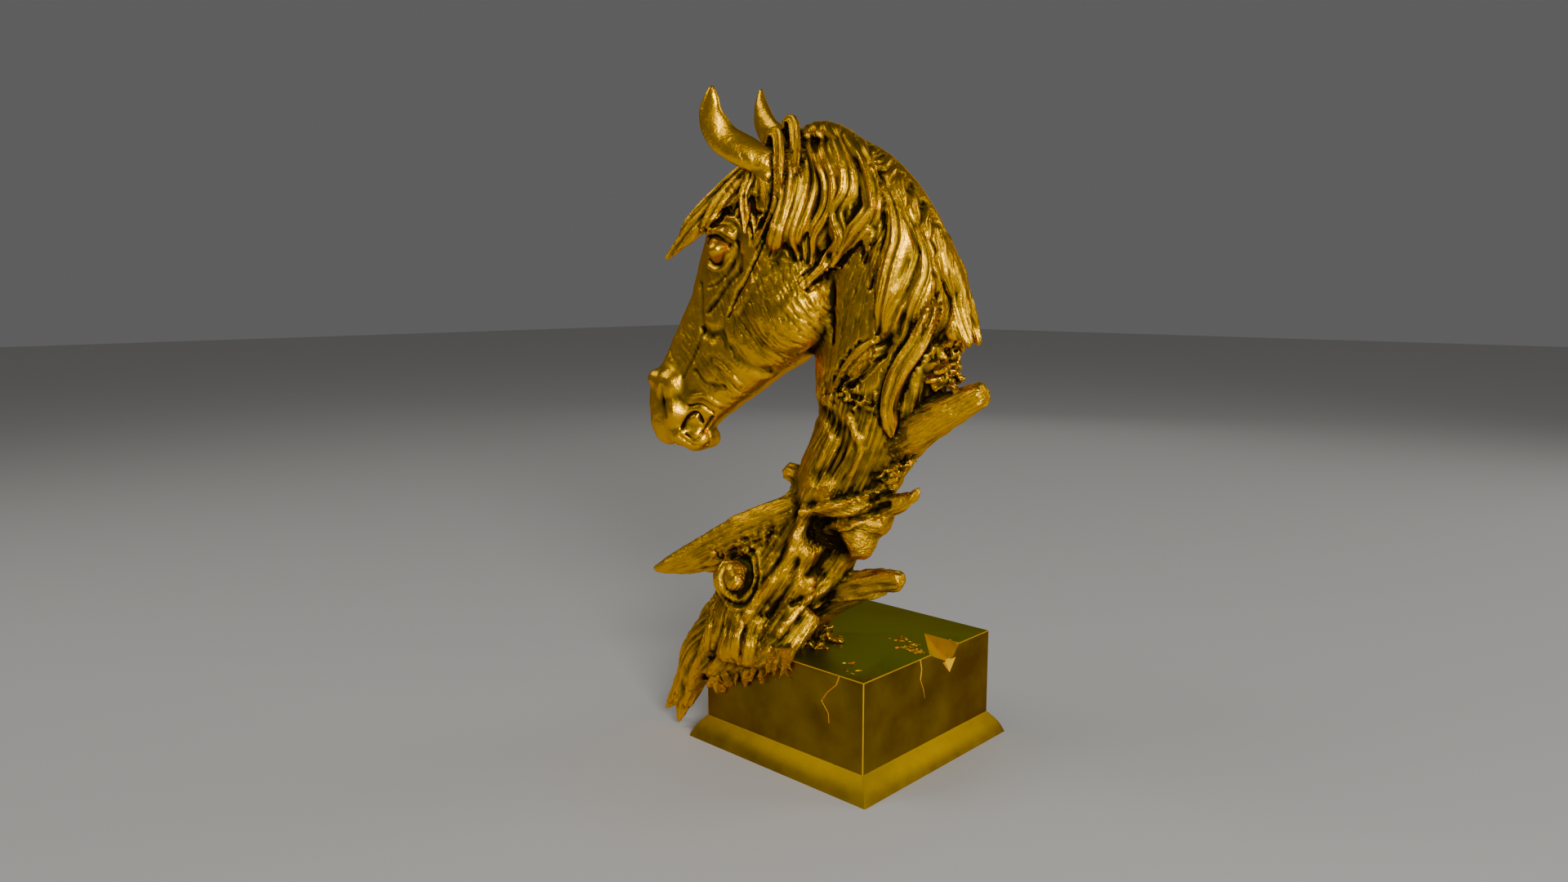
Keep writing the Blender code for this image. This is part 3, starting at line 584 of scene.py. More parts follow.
def addFibre(bm, rng):
    # one raised strand of grain, half sunk in the trunk's skin
    rows = smoothRows(wood["trunk"], 6)
    first = rng.uniform(*wood["fibreStarts"])
    last = min(first + rng.uniform(*wood["fibreLengths"]), 1)
    angle = rng.uniform(0, 2 * math.pi)
    twist = rng.uniform(*wood["fibreTwist"])
    picked = []
    outward = []
    for share in np.linspace(first, last, 6):
        spot = int(round(share * (len(rows) - 1)))
        ahead = unitVector(rows[min(spot + 1, len(rows) - 1), :3] - rows[max(spot - 1, 0), :3])
        up = np.array(sideways, float)
        up = unitVector(up - ahead * up.dot(ahead))
        turn = angle + twist * share
        out = np.cross(ahead, up) * math.cos(turn) * rows[spot, 3] + up * math.sin(turn) * rows[spot, 4]
        thin = wood["fibreHalfWidth"] * (0.3 + math.sin(math.pi * (share - first) / (last - first)))
        picked.append((*(rows[spot, :3] + out * rng.uniform(*wood["fibreSunk"])), thin, thin * 0.9))
        outward.append(unitVector(out))
    steps = 4
    sweep(bm, picked, smoothRows(outward, steps), sides=10, steps=steps)


def addChip(bm, spot, sizes, rng, heading=0):
    tilt = Matrix.Rotation(rng.uniform(*wood["chipTilt"]), 4, "Y")
    roll = Matrix.Rotation(rng.uniform(*wood["chipRoll"]), 4, "X")
    turn = Matrix.Rotation(heading, 4, "Z") @ (tilt @ roll)
    place = Matrix.Translation(spot) @ turn @ Matrix.Diagonal((*sizes, 1))
    bmesh.ops.create_cube(bm, size=2, matrix=place)


def addClump(bm, x, y, z, radius, rng):
    spread = wood["clumpSpread"]
    for _ in range(wood["clumpPieces"]):
        shift = Vector([rng.uniform(-spread, spread) * radius for _ in range(3)])
        sizes = [rng.uniform(*span) * radius for span in wood["clumpSizes"]]
        addChip(bm, Vector((x, y, z)) + shift, sizes, rng)


def addFlakes(bm, rng):
    # bits of bark that lie on the plinth round the foot
    x, y, wide, deep = wood["foot"]
    for _ in range(wood["flakes"]):
        angle = rng.uniform(*wood["flakeAngles"])
        reach = rng.uniform(*wood["flakeReach"])
        height = rng.uniform(*wood["flakeHeights"])
        spot = Vector((x + wide * reach * math.cos(angle), y + deep * reach * math.sin(angle), height))
        addChip(bm, spot, [rng.uniform(*span) for span in wood["flakeSizes"]], rng, angle)


def frontEdge(x):
    # y of the plinth's front face beside a place x
    turn = castingPlace["turn"]
    return (-castingPlace["footFromFront"] / unit - x * math.sin(turn)) / math.cos(turn)


def addSplinters(bm, rng):
    low, high = wood["splinterSpan"]
    proud, most = wood["splinterProud"]
    for k in range(wood["splinters"]):
        share = (k + rng.uniform(0.1, 0.9)) / wood["splinters"]
        x = low + (high - low) * share
        y = frontEdge(x) - proud
        foot = wood["splinterFall"] * (1 - share) ** 1.3
        drop = rng.uniform(*wood["splinterDrop"])
        lean = rng.uniform(*wood["splinterLean"])
        wide = rng.uniform(*wood["splinterWidth"])
        rows = (
            (x + 3, y - 1, foot + 9, wide, 3),
            (x, y - proud - rng.uniform(0, most - proud), foot, wide, 2),
            (x + lean, y - 0.5, foot - drop, 0.6, 0.8),
        )
        sweep(bm, rows, (0.34, 0.94, 0), sides=10, steps=5)


def addDriftwood(bm, pieces):
    sweep(bm, wood["trunk"], sideways, sides=48)
    for name, (face, *rows) in wood["limbs"].items():
        sweep(bm, rows, face, kind="" if name in wood["grainless"] else "wood")
    for lump in wood["lumps"]:
        addBall(pieces, *lump)


def addWoodDetail(bm, rng):
    for _ in range(wood["fibres"]):
        addFibre(bm, rng)
    for clump in wood["clumps"]:
        addClump(bm, *clump, rng)
    addSplinters(bm, rng)
    addFlakes(bm, rng)


# Mane: four rails run across it from the poll to its back end, and a lock falls from the first to
# the last. A rail has the half width of the neck there, then x and z of ten places.
mane = {
    "rails": (
        (4, (
            (-14, 306), (0, 308), (14, 318), (27, 316), (44, 304),
            (58, 290), (76, 268), (90, 250), (96, 236), (99, 226),
        )),
        (22, (
            (-1, 296), (13, 288), (24, 290), (35, 284), (52, 283),
            (65, 268), (80, 250), (93, 236), (104, 225), (112, 212),
        )),
        (28, (
            (0, 274), (12, 269), (26, 269), (36, 260), (52, 262),
            (66, 234), (77, 222), (89, 202), (101, 204), (117, 196),
        )),
        (28, (
            (-10, 240), (8, 240), (28, 252), (20, 224), (45, 244),
            (60, 196), (68, 180), (78, 165), (92, 186), (120, 190),
        )),
    ),
    # the broad locks of both sides: x and z from the crest down, half width, half thickness
    "foldSpread": 1.4,
    "foldRises": (1.8, 3.4),
    "folds": (
        (((-11, 311), (-2, 298), (1, 283), (-1, 267), (-13, 247)), 4.5, 4),
        (((-2, 312), (5, 297), (7, 283), (5, 269), (0, 251), (-5, 242)), 5, 4.5),
        (((6, 313), (13, 300), (17, 283), (14, 267), (9, 251), (10, 241)), 5, 4.5),
        (((16, 313), (25, 297), (31, 283), (30, 267), (21, 251), (19, 239)), 5, 4),
        (((27, 312), (37, 297), (40, 278), (33, 264), (38, 250), (33, 239), (18, 224)), 6, 5),
        (((37, 308), (50, 292), (56, 273), (56, 264), (45, 250), (32, 236)), 5, 4),
        (((48, 299), (56, 289), (60, 273), (59, 259)), 4, 3),
        (((55, 292), (64, 279), (70, 267), (73, 250), (69, 232), (65, 213), (62, 197)), 6, 4.5),
        (((66, 278), (74, 267), (80, 254), (83, 240), (77, 222), (69, 206), (66, 192)), 6, 4),
        (((76, 265), (83, 254), (89, 240), (89, 227), (83, 211), (79, 195)), 6, 4),
        (((84, 255), (90, 244), (95, 231), (95, 216), (89, 200), (81, 184)), 5.5, 3.5),
        (((89, 247), (96, 231), (101, 215), (99, 202), (93, 192)), 5, 3.5),
        (((93, 238), (100, 221), (106, 205), (112, 190)), 4.5, 3),
    ),
    "foldWidths": (0.7, 1, 1.05, 1, 0.85, 0.2),
    "foldShift": (-3, 0),  # those of the far side lie this much further forward
    # plain locks under them, and thin strands between: counts, half widths, how proud they lie
    "underLocks": 26,
    "underWidths": (4, 6),
    "underLift": 0.2,
    "strands": 8,
    "strandWidths": (1.2, 2),
    "strandLifts": (2, 3.5),
    "halfThickness": 3,
    "reach": (0.5, 0.85),
    "taper": (0.6, 1, 1, 0.8, 0.25),
    "wave": (-3, 3),
    "waveStep": 2.2,
    "crestHalf": (8, 15),
    # the pointed back end, with the y of its tip on the near and on the far side
    "backFlap": ((89, 3, 248, 5, 4), (95, 6, 228, 9, 5), (101, 10, 208, 11, 5), (106, 12, 197, 8, 4)),
    "flapTip": {-1: (113, -14, 189, 2, 2), 1: (113, 9, 189, 2, 2)},
    "hangingLock": (
        (84, 232, 3, 2.5),
        (89, 212, 6, 4),
        (84, 192, 7, 4.5),
        (74, 174, 7, 4.5),
        (68, 156, 6, 4),
        (68, 146, 5.5, 4),
        (70, 135, 1.5, 1.5),
    ),
    "tongue": ((68, 191, 1, 1), (56, 184, 7, 2), (44, 173, 7, 2), (33, 162, 1, 1)),
    "freeLocksLift": (2.5, 0.3),
    "strandLength": 2.5,
    "forelockFacing": (-0.2, -0.95, 0.1),
    "forelock": (
        (
            (-14, -4, 300, 7, 6),
            (-29, -6, 290, 8, 6),
            (-47, -9, 274, 10, 5),
            (-64, -12, 258, 8, 4),
            (-82, -14, 239, 1.5, 1.5),
        ),
        ((-18, -12, 294, 7, 5), (-32, -18, 281, 7, 4), (-44, -22, 267, 5, 3), (-51, -25, 257, 1.5, 1.5)),
        ((-20, -12, 292, 7, 5), (-38, -16, 276, 8, 4), (-55, -18, 257, 4, 2)),
        ((-16, -18, 292, 6, 5), (-22, -25, 275, 5, 4), (-20, -28, 253, 1.5, 1.5)),
        ((-16, 6, 298, 8, 6), (-34, 12, 281, 8, 4), (-46, 17, 262, 5, 3), (-52, 15, 246, 1.5, 1.5)),
    ),
    "curlFacing": (-0.5, -0.7, 0.3),
    "pollCurls": (
        (
            (-14, -13, 298, 5, 3.5),
            (-10, -15, 310, 5, 3.5),
            (-3, -19, 309, 5, 3.5),
            (1, -25, 293, 4.5, 3.5),
            (-1, -28, 274, 2, 2),
        ),
        (
            (-4, -10, 304, 5, 3.5),
            (-1, -11, 318, 4.5, 3.5),
            (5, -14, 317, 4.5, 3.5),
            (9, -20, 302, 4.5, 3.5),
            (11, -25, 286, 3, 2.5),
        ),
        ((-4, 8, 302, 6, 4), (1, 8, 311, 5, 4), (8, 13, 306, 5, 4), (13, 20, 290, 4, 3)),
    ),
}


def railPoint(rail, place):
    width, points = rail
    spot = place * (len(points) - 1)
    low = min(int(spot), len(points) - 2)
    part = spot - low
    x = points[low][0] * (1 - part) + points[low + 1][0] * part
    z = points[low][1] * (1 - part) + points[low + 1][1] * part
    return np.array((x, width, z), float)


def layOn(tree, point, lift):
    spot, normal, _, _ = tree.find_nearest(Vector(point))
    return np.array(spot + normal * lift), np.array(normal)


def bodyTree(obj):
    points = [v.co.copy() for v in obj.data.vertices]
    return BVHTree.FromPolygons(points, [tuple(p.vertices) for p in obj.data.polygons])


def onSide(tree, x, z, side, lift=0.0):
    # the skin beside a place of the side view
    spot, normal, _, _ = tree.ray_cast(Vector((x, side * 200, z)), Vector((0, -side, 0)))
    if spot is None or abs(normal.y) < 0.15:
        spot, normal, _, _ = tree.find_nearest(Vector((x, side * 24, z)))
    return np.array(spot + normal * lift), np.array(normal)


def addLock(bm, tree, points, lifts, widths, thicknesses, kind="mane"):
    rows = []
    faces = []
    for point, lift, wide, thick in zip(points, lifts, widths, thicknesses):
        spot, out = layOn(tree, point, lift)
        rows.append((*spot, wide, thick))
        faces.append(out)
    steps = 8
    sweep(bm, rows, smoothRows(faces, steps), sides=20, steps=steps, kind=kind)


def addUnderLock(bm, tree, side, rng, k):
    thin = k >= mane["underLocks"]
    place = rng.uniform(0.02, 0.98) if thin else (k + 0.5) / mane["underLocks"]
    wave = rng.uniform(*mane["wave"])
    reach = rng.uniform(*mane["reach"])
    wide = rng.uniform(*mane["strandWidths" if thin else "underWidths"])
    thick = wide if thin else mane["halfThickness"]
    lift = rng.uniform(*mane["strandLifts"]) if thin else mane["underLift"]
    points = [railPoint(rail, place) for rail in mane["rails"]]
    points[3] = points[2] + (points[3] - points[2]) * reach
    points.insert(3, (points[2] + points[3]) / 2)
    sway = [(wave * math.sin(mane["waveStep"] * i), 0, 0) for i in range(len(points))]
    points = [p * (1, side, 1) + shift for p, shift in zip(points, sway)]
    shares = np.array(mane["taper"])
    lifts = lift * np.array((0, 1, 1, 1, 0)) - np.array((2, 0, 0, 0, 1))
    addLock(bm, tree, points, lifts, wide * shares, thick * shares)


def addMane(bm, tree, side, rng):
    for k in range(mane["underLocks"] + mane["strands"]):
        addUnderLock(bm, tree, side, rng, k)
    for k, (path, wide, thick) in enumerate(mane["folds"]):
        path = np.array(path, float)
        if side > 0:
            path += (rng.uniform(*mane["foldShift"]), 0)
        count = len(path)
        shares = np.interp(np.linspace(0, 5, count), range(6), mane["foldWidths"])
        crest = np.array((path[0][0], side * 4, path[0][1] - 1))
        points = [crest] + [onSide(tree, x, z, side)[0] for x, z in path[1:]]
        lifts = [-0.5] + [mane["foldRises"][k % 2]] * (count - 2) + [-1]
        addLock(bm, tree, points, lifts, wide * mane["foldSpread"] * shares, thick * shares)
    for path, lift in zip((mane["hangingLock"], mane["tongue"]), mane["freeLocksLift"]):
        points = [onSide(tree, x, z, side)[0] for x, z, _, _ in path]
        lifts = [-1] + [lift] * (len(path) - 1)
        addLock(bm, tree, points, lifts, [row[2] for row in path], [row[3] for row in path], "hair")


def addCrest(bm):
    deep, wide = mane["crestHalf"]
    rows = [(x, 0, z - deep + 1, deep, wide) for x, z in mane["rails"][0][1]]
    sweep(bm, rows, sideways, kind="mane")


def addBackFlap(bm):
    for side, tip in mane["flapTip"].items():
        rows = [(x, side * y, z, wide, thick) for x, y, z, wide, thick in mane["backFlap"]]
        sweep(bm, rows + [tip], (0.3, side, 0.2), kind="mane")


def addHair(bm, tree, rng):
    for side in (-1, 1):
        addMane(bm, tree, side, rng)
    addCrest(bm)
    addBackFlap(bm)
    for rows in mane["forelock"]:
        sweep(bm, rows, mane["forelockFacing"], kind="hair")
    for rows in mane["pollCurls"]:
        sweep(bm, rows, mane["curlFacing"], kind="hair")


def addEars(bm):
    for rows in head["ears"]:
        side = -1 if rows[0][1] < 0 else 1
        sweep(bm, rows, (0.25, side, 0.35), kind="skin")


# Carving: strokes move the skin out or in

def readSkin(mesh):
    count = len(mesh.vertices)
    points = np.empty(count * 3)
    mesh.vertices.foreach_get("co", points)
    normals = np.empty(count * 3)
    mesh.vertices.foreach_get("normal", normals)
    return points.reshape(-1, 3), normals.reshape(-1, 3)


def curveDistance(points, path):
    best = np.full(len(points), np.inf)
    for start, end in zip(path, path[1:]):
        run = end - start
        share = np.clip((points - start) @ run / max(run @ run, 1e-9), 0, 1)
        best = np.minimum(best, np.linalg.norm(points - start - share[:, None] * run, axis=1))
    return best


def carve(mesh, strokes):
    points, normals = readSkin(mesh)
    moved = np.zeros(len(points))
    order = np.argsort(points[:, 2])
    heights = points[order, 2]
    for rows, radius, height in strokes:
        path = smoothRows(rows, 5)
        low = path.min(axis=0) - radius
        high = path.max(axis=0) + radius
        first, last = np.searchsorted(heights, (low[2], high[2]))
        near = order[first:last]
        near = near[((points[near] > low) & (points[near] < high)).all(axis=1)]
        away = curveDistance(points[near], path) / radius
        moved[near] += height * np.clip(1 - away**2, 0, 1) ** 2
    moveSkin(mesh, points, normals, moved * offSeat(points))


def offSeat(points):
    # 0 where the casting touches the plinth and 1 elsewhere
    turned = np.array(castingMatrix.to_3x3())
    x, y, z = np.abs(points @ turned.T + castingFoot).T
    close = castingPlace["seatGap"] * 1.5
    return ~((x < blockHalf + close) & (y < blockHalf + close) & (z < plinthTop + close))


def moveSkin(mesh, points, normals, moved):
    points = points + normals * moved[:, None]
    mesh.vertices.foreach_set("co", points.ravel())
    mesh.update()


def noteOn(mesh, name, values, kind="FLOAT", domain="POINT"):
    attribute = mesh.attributes.new(name, kind, domain)
    field = "vector" if kind == "FLOAT_VECTOR" else "value"
    attribute.data.foreach_set(field, np.ravel(values).astype(np.float32))


def edgeEnds(mesh):
    ends = np.empty(len(mesh.edges) * 2, np.int32)
    mesh.edges.foreach_get("vertices", ends)
    return ends.reshape(-1, 2).T


def evenOut(values, ends, rounds):
    # each value becomes the mean of its neighbours', as often as asked
    a, b = ends
    size = len(values)
    count = np.maximum(np.bincount(a, minlength=size) + np.bincount(b, minlength=size), 1)
    for _ in range(rounds):
        values = (np.bincount(a, values[b], size) + np.bincount(b, values[a], size)) / count
    return values


def strokeOn(tree, path, side, radius, height):
    # a stroke on the skin from its path in the side view
    return [onSide(tree, x, z, side)[0] for x, z in path], radius, height


def headStrokes(tree):
    return [strokeOn(tree, path, side, *cut) for path, *cut in head["strokes"] for side in (-1, 1)]


def ringPath(x, z, wide, tall, lean, share):
    # a closed leaning oval in the side view
    path = []
    for k in range(9):
        angle = math.pi / 4 * k
        across = wide * share * math.cos(angle)
        up = tall * share * math.sin(angle)
        turnedX = across * math.cos(lean) - up * math.sin(lean)
        turnedZ = across * math.sin(lean) + up * math.cos(lean)
        path.append((x + turnedX, z + turnedZ))
    return path


def woodStrokes(tree):
    x, z = wood["knot"][:2]
    strokes = []
    for path, cut in (
        (ringPath(*wood["knot"], 1), wood["knotRim"]),
        (ringPath(*wood["knot"], 0.7), wood["knotMoat"]),
        (ringPath(*wood["knot"], 1.4), wood["knotRim"]),
        (((x + 1, z - 3), (x + 2, z - 1)), wood["knotBall"]),
    ):
        strokes.append(strokeOn(tree, path, -1, *cut))
    for path, radius, height in wood["strokes"]:
        # fainter on the far side, and a little further back
        strokes.append(strokeOn(tree, path, -1, radius, height))
        strokes.append(strokeOn(tree, [(x + 4, z) for x, z in path], 1, radius, height * 0.8))
    return strokes


def furStrokes(tree, rng):
    # short hair: each stroke runs as the nearest lines do
    starts = []
    runs = []
    for line in head["furLines"]:
        line = np.array(line, float)
        for a, b in zip(line, line[1:]):
            for share in (0.1, 0.5, 0.9):
                starts.append(a + (b - a) * share)
                runs.append((b - a) / np.linalg.norm(b - a))
    starts = np.array(starts)
    runs = np.array(runs)
    spread = head["furSpread"]
    strokes = []
    for _ in range(head["furStrokes"]):
        near = starts[rng.randrange(len(starts))]
        place = near + (rng.gauss(0, spread), rng.gauss(0, spread))
        weights = 1 / (9 + ((starts - place) ** 2).sum(axis=1)) ** 2
        run = unitVector((runs * weights[:, None]).sum(axis=0))
        length = rng.uniform(*head["furLength"])
        bend = rng.uniform(-head["furBend"], head["furBend"]) * np.array((-run[1], run[0])) * length
        path = (place - run * length / 2, place + bend, place + run * length / 2)
        depth = rng.uniform(*head["furDepth"])
        for side in (-1, 1):
            strokes.append(strokeOn(tree, path, side, head["furRadius"], depth))
    return strokes


# Relief: widths and heights in mm of the grain, the strands and the skin's unevenness
relief = {
    "woodUpTo": (172, 14),  # the wood fades out below this height, over this much
    "patchSize": 16,
    # long splits and fine ones: width, length, height, sharpness
    "splits": (3.8, 60, -0.9, 3),
    "fineSplits": (1.8, 20, -0.4, 2.4),
    # ridges: width, height; then how often and how far they sway, and where their middle lies
    "woodRidges": ((4.4, 1.0), (2.4, 0.7)),
    "woodSway": ((7, 7, 34), 1.0, 0.7),
    "hairRidges": ((6.5, 2.0), (3.2, 0.8)),
    "hairSway": ((9, 9, 34), 0.6, 0.9),
    # lumps: width, height
    "woodLumps": ((15, 1.3), (4.5, 0.4)),
    "skinLumps": ((7, 0.4), (3, 0.15)),
    # broken bark: width of the shards, width and reach of their warp
    "shards": (5, 3, 0.8),
    # how far the grain of a piece reaches from its middle rings
    "woodReach": 9,
    "hairReach": 4,
}

noiseTable = np.random.RandomState(5).uniform(-1, 1, (64, 64, 64))


def softNoise(points):
    # smooth random values from -1 to 1, one bump to a unit
    cell = np.floor(points).astype(int)
    part = points - cell
    ease = part * part * (3 - 2 * part)
    total = np.zeros(len(points))
    for corner in np.ndindex(2, 2, 2):
        at = (cell + corner) % 64
        weight = np.where(corner, ease, 1 - ease).prod(axis=1)
        total += noiseTable[at[:, 0], at[:, 1], at[:, 2]] * weight
    return total


def shards(points):
    # a random height from -1 to 1 for each cell
    cell = np.floor(points).astype(int) % 64
    return noiseTable[cell[:, 0], cell[:, 1], cell[:, 2]]


def creases(points, sharpness):
    return np.clip(1 - np.abs(softNoise(points)) * sharpness, 0, 1)


def besideLocks(points):
    # how far back each point lies, measured across the broad locks: lines of equal value run
    # along the locks and blend from one to the next
    spots = points[:, (0, 2)]
    paths = [smoothRows(path, 4) for path, _, _ in mane["folds"]]
    total = np.zeros(len(points))
    weights = np.full(len(points), 1e-12)
    start = 0.0
    for k, path in enumerate(paths):
        best = np.full(len(points), np.inf)
        signed = np.zeros(len(points))
        for a, b in zip(path, path[1:]):
            run = unitVector(b - a)
            share = np.clip((spots - a) @ run, 0, np.linalg.norm(b - a))
            away = spots - a - share[:, None] * run
            far = np.linalg.norm(away, axis=1)
            nearer = far < best
            best[nearer] = far[nearer]
            signed[nearer] = (-run[1] * (spots - a)[:, 0] + run[0] * (spots - a)[:, 1])[nearer]
        weight = 1 / (best**2 + 1) ** 2
        total += weight * (start + signed)
        weights += weight
        if k + 1 < len(paths):
            start += curveDistance(paths[k + 1], path).mean()
    return total / weights


def grainAt(points):
    # each point's place in the cross-section of the limb or lock that it lies on
    tree = KDTree(len(grainPoints))
    for i, (point, _) in enumerate(grainPoints):
        tree.insert(point, i)
    tree.balance()
    owner = np.array([frame for _, frame in grainPoints])
    found = [tree.find(point) for point in points.tolist()]
    nearest = owner[[spot for _, spot, _ in found]]
    table = np.array([np.hstack([c, s, u, t, a, shift]) for c, s, u, t, a, shift, _ in grainFrames])
    kinds = np.array([kind for *_, kind in grainFrames])[nearest]
    reach = np.where(kinds == "wood", relief["woodReach"], relief["hairReach"])
    kinds[np.array([gap for *_, gap in found]) > reach] = "skin"
    rows = table[nearest]
    away = points - rows[:, 0:3]
    place = np.stack([(away * rows[:, k : k + 3]).sum(axis=1) for k in (3, 6, 9)], axis=1)
    place += rows[:, (13, 13, 12)]
    isMane = kinds == "mane"
    place[isMane, 0] = besideLocks(points[isMane])
    place[isMane, 1] = 0
    place[isMane, 2] = points[isMane, 2] / mane["strandLength"]
    return place, kinds


def grainShares(points, kinds):
    # how much of each point is wood and how much hair
    top, fade = relief["woodUpTo"]
    isWood = (kinds == "wood") * np.clip((top - points[:, 2]) / fade, 0, 1)
    return isWood, ((kinds == "hair") | (kinds == "mane")) * 1.0


def ridges(place, width, waves, sway, level):
    # rounded ridges that run along the grain
    bend = softNoise(place / waves + width) * sway
    return np.abs(np.sin(math.pi * (place[:, 0] / width + bend))) - level


def lumps(points, sizes):
    return sum(height * softNoise(points / width) for width, height in sizes)


def brokenBark(points):
    # shards with warped edges in the rough places
    broken = np.zeros(len(points))
    for x, z, radius in wood["rubble"]:
        away = np.hypot(points[:, 0] - x, points[:, 2] - z) / radius
        broken = np.maximum(broken, np.clip(1.6 - 1.6 * away, 0, 1))
    width, warpWidth, warpReach = relief["shards"]
    warp = np.stack([softNoise(points / warpWidth + shift) for shift in (0, 20, 40)], axis=1)
    warped = points / width + warpReach * warp
    return broken, wood["rubbleDepth"] * (shards(warped) + 0.5 * shards(warped * 2.1) - 0.3)


def addRelief(mesh):
    points, normals = readSkin(mesh)
    place, kinds = grainAt(points)
    isWood, isHair = grainShares(points, kinds)
    isSkin = 1 - isHair - isWood
    patches = np.clip(0.55 + softNoise(points / relief["patchSize"]), 0.1, 1)
    width, length, height, sharpness = relief["splits"]
    moved = isWood * height * patches * creases(place / (width, width, length), sharpness)
    for width, height in relief["woodRidges"]:
        moved += isWood * height * patches * ridges(place, width, *relief["woodSway"])
    width, length, height, sharpness = relief["fineSplits"]
    moved += isWood * height * creases(place / (width, width, length) + 9, sharpness)
    moved += isWood * lumps(points, relief["woodLumps"])
    offCrest = np.clip(np.abs(points[:, 1]) / 10, 0.25, 1)
    for width, height in relief["hairRidges"]:
        moved += isHair * offCrest * height * ridges(place, width, *relief["hairSway"])
    moved += isSkin * lumps(points, relief["skinLumps"])
    broken, bark = brokenBark(points)
    moved += broken * (1 - isHair) * bark
    moveSkin(mesh, points, normals, evenOut(moved, edgeEnds(mesh), 1) * offSeat(points))


def noteGrain(mesh):
    # each point's place across, out of and along its limb or lock, for the streaks in the finish and the
    # painted shade in their grooves
    points, _ = readSkin(mesh)
    place, kinds = grainAt(points)
    isWood, isHair = grainShares(points, kinds)
    noteOn(mesh, "grain", place, "FLOAT_VECTOR")
    noteOn(mesh, "streaked", evenOut(isWood + isHair, edgeEnds(mesh), 2))


def noteHollowsForShade(mesh, name, rounds):
    # how far each point lies below its evened-out surroundings; the finish paints shade where it lies
    # deep
    points, normals = readSkin(mesh)
    ends = edgeEnds(mesh)
    smooth = np.stack([evenOut(points[:, axis], ends, rounds) for axis in range(3)], axis=1)
    noteOn(mesh, name, ((smooth - points) * normals).sum(axis=1))


# sizes of the voxels in mm, rounds of smoothing, and the triangles that are kept; hollows are how
# many rounds even the surroundings out for the painted shade of the narrow hollows and of the wide ones
castingSkin = {
    "coreVoxel": 1.5,
    "coreSmoothing": 20,
    "skinVoxel": 0.72,
    "skinSmoothing": 2,
    "triangles": 196000,
    "hollows": {"hollow": 10, "recessShade": 60},
}


def buildCasting():
    rng = random.Random(7)
    pieces = []
    bm = bmesh.new()
    addHead(bm, pieces)
    addDriftwood(bm, pieces)
    core = meshObject("horse_casting", bm)
    joinInto(core, *pieces)
    fuse(core, castingSkin["coreVoxel"], castingSkin["coreSmoothing"])
    print("core forms run together:", len(core.data.polygons), "faces")
    tree = bodyTree(core)
    bm = bmesh.new()
    addHair(bm, tree, rng)
    addEars(bm)
    addWoodDetail(bm, rng)
    joinInto(core, meshObject("hair_and_grain", bm))
    fuse(core, castingSkin["skinVoxel"], castingSkin["skinSmoothing"])
    dropCrumbs(core)
    print("skin with locks, ears and grain:", len(core.data.polygons), "faces")
    gap = castingPlace["seatGap"]
    seat = addBlock("seat", blockHalf + gap, 0, plinthTop + gap)
    seat.data.transform(castingMatrix.inverted())
    cutAway(core, seat)
    print("seat cut:", len(core.data.polygons), "faces")
    tree = bodyTree(core)
    carve(core.data, headStrokes(tree) + woodStrokes(tree) + furStrokes(tree, rng))
    print("strokes carved")
    addRelief(core.data)
    print("grain and strands carved")
    thin = core.modifiers.new("thin", "DECIMATE")
    thin.ratio = min(1, castingSkin["triangles"] / (2 * len(core.data.polygons)))
    applyAll(core)
    for name, rounds in castingSkin["hollows"].items():
        noteHollowsForShade(core.data, name, rounds)
    noteGrain(core.data)
    core.data.transform(castingMatrix)
    core.data.update()
    print("casting finished:", len(core.data.polygons), "faces")
    return core


# Plinth

def addBlock(name, half, low, high):
    deselectAll()
    bpy.ops.mesh.primitive_cube_add(
        size=1, location=(0, 0, (low + high) / 2), scale=(2 * half, 2 * half, high - low)
    )
    block = bpy.context.active_object
    block.name = name
    bpy.ops.object.transform_apply(location=True, rotation=True, scale=True)
    return block


def cutAway(obj, cutter):
    boolean = obj.modifiers.new("cut", "BOOLEAN")
    boolean.operation = "DIFFERENCE"
    boolean.solver = "EXACT"
    boolean.object = cutter
    applyAll(obj)
    bpy.data.objects.remove(cutter)


def hull(name, points):
    bm = bmesh.new()
    for point in points:
        bm.verts.new(point)
    bmesh.ops.convex_hull(bm, input=bm.verts)
    return meshObject(name, bm)


def chipCutters():
    s = plinthSizes
    clear = s["chipDrop"] * 0.1  # the cutters stand clear of the block by this
    front = s["chipStart"] - blockHalf
    back = front + s["chipLength"]
    low = front + s["chipLength"] * s["chipLowAt"]
    above = plinthTop + clear
    outside = blockHalf + 2 * clear
    facet = (
        (blockHalf - s["chipReach"], back, above),
        (outside, front, above),
        (outside, back, above),
        (outside, low, plinthTop - s["chipDrop"]),
    )
    shoulder = plinthTop - s["chipDrop"] * s["notchTop"]
    notch = (
        (outside, low - s["notchWidth"], shoulder),
        (outside, low + s["notchWidth"], shoulder),
        (blockHalf - s["notchDepth"], low, shoulder),
        (outside, low + s["notchWidth"] * s["notchLean"], plinthTop - s["notchDrop"]),
    )
    return hull("chipFacet", facet), hull("chipNotch", notch)


def crackCutter(name, corner, along, out):
    bm = bmesh.new()
    path = plinthSizes[name + "Path"]
    length = plinthSizes[name + "Length"]
    along = Vector(along)
    out = Vector(out) * plinthSizes["crackDepth"]
    rings = []
    for k, stray in enumerate(path):
        share = k / (len(path) - 1)
        wide = along * (plinthSizes["crackWidth"] / 2 * (1 - plinthSizes["crackTaper"] * share))
        spot = Vector(corner) + along * (length * stray) - Vector((0, 0, length * share))
        rings.append((spot - wide + out, spot + wide + out, spot - out))
    loft(bm, rings)
    return meshObject(name, bm)


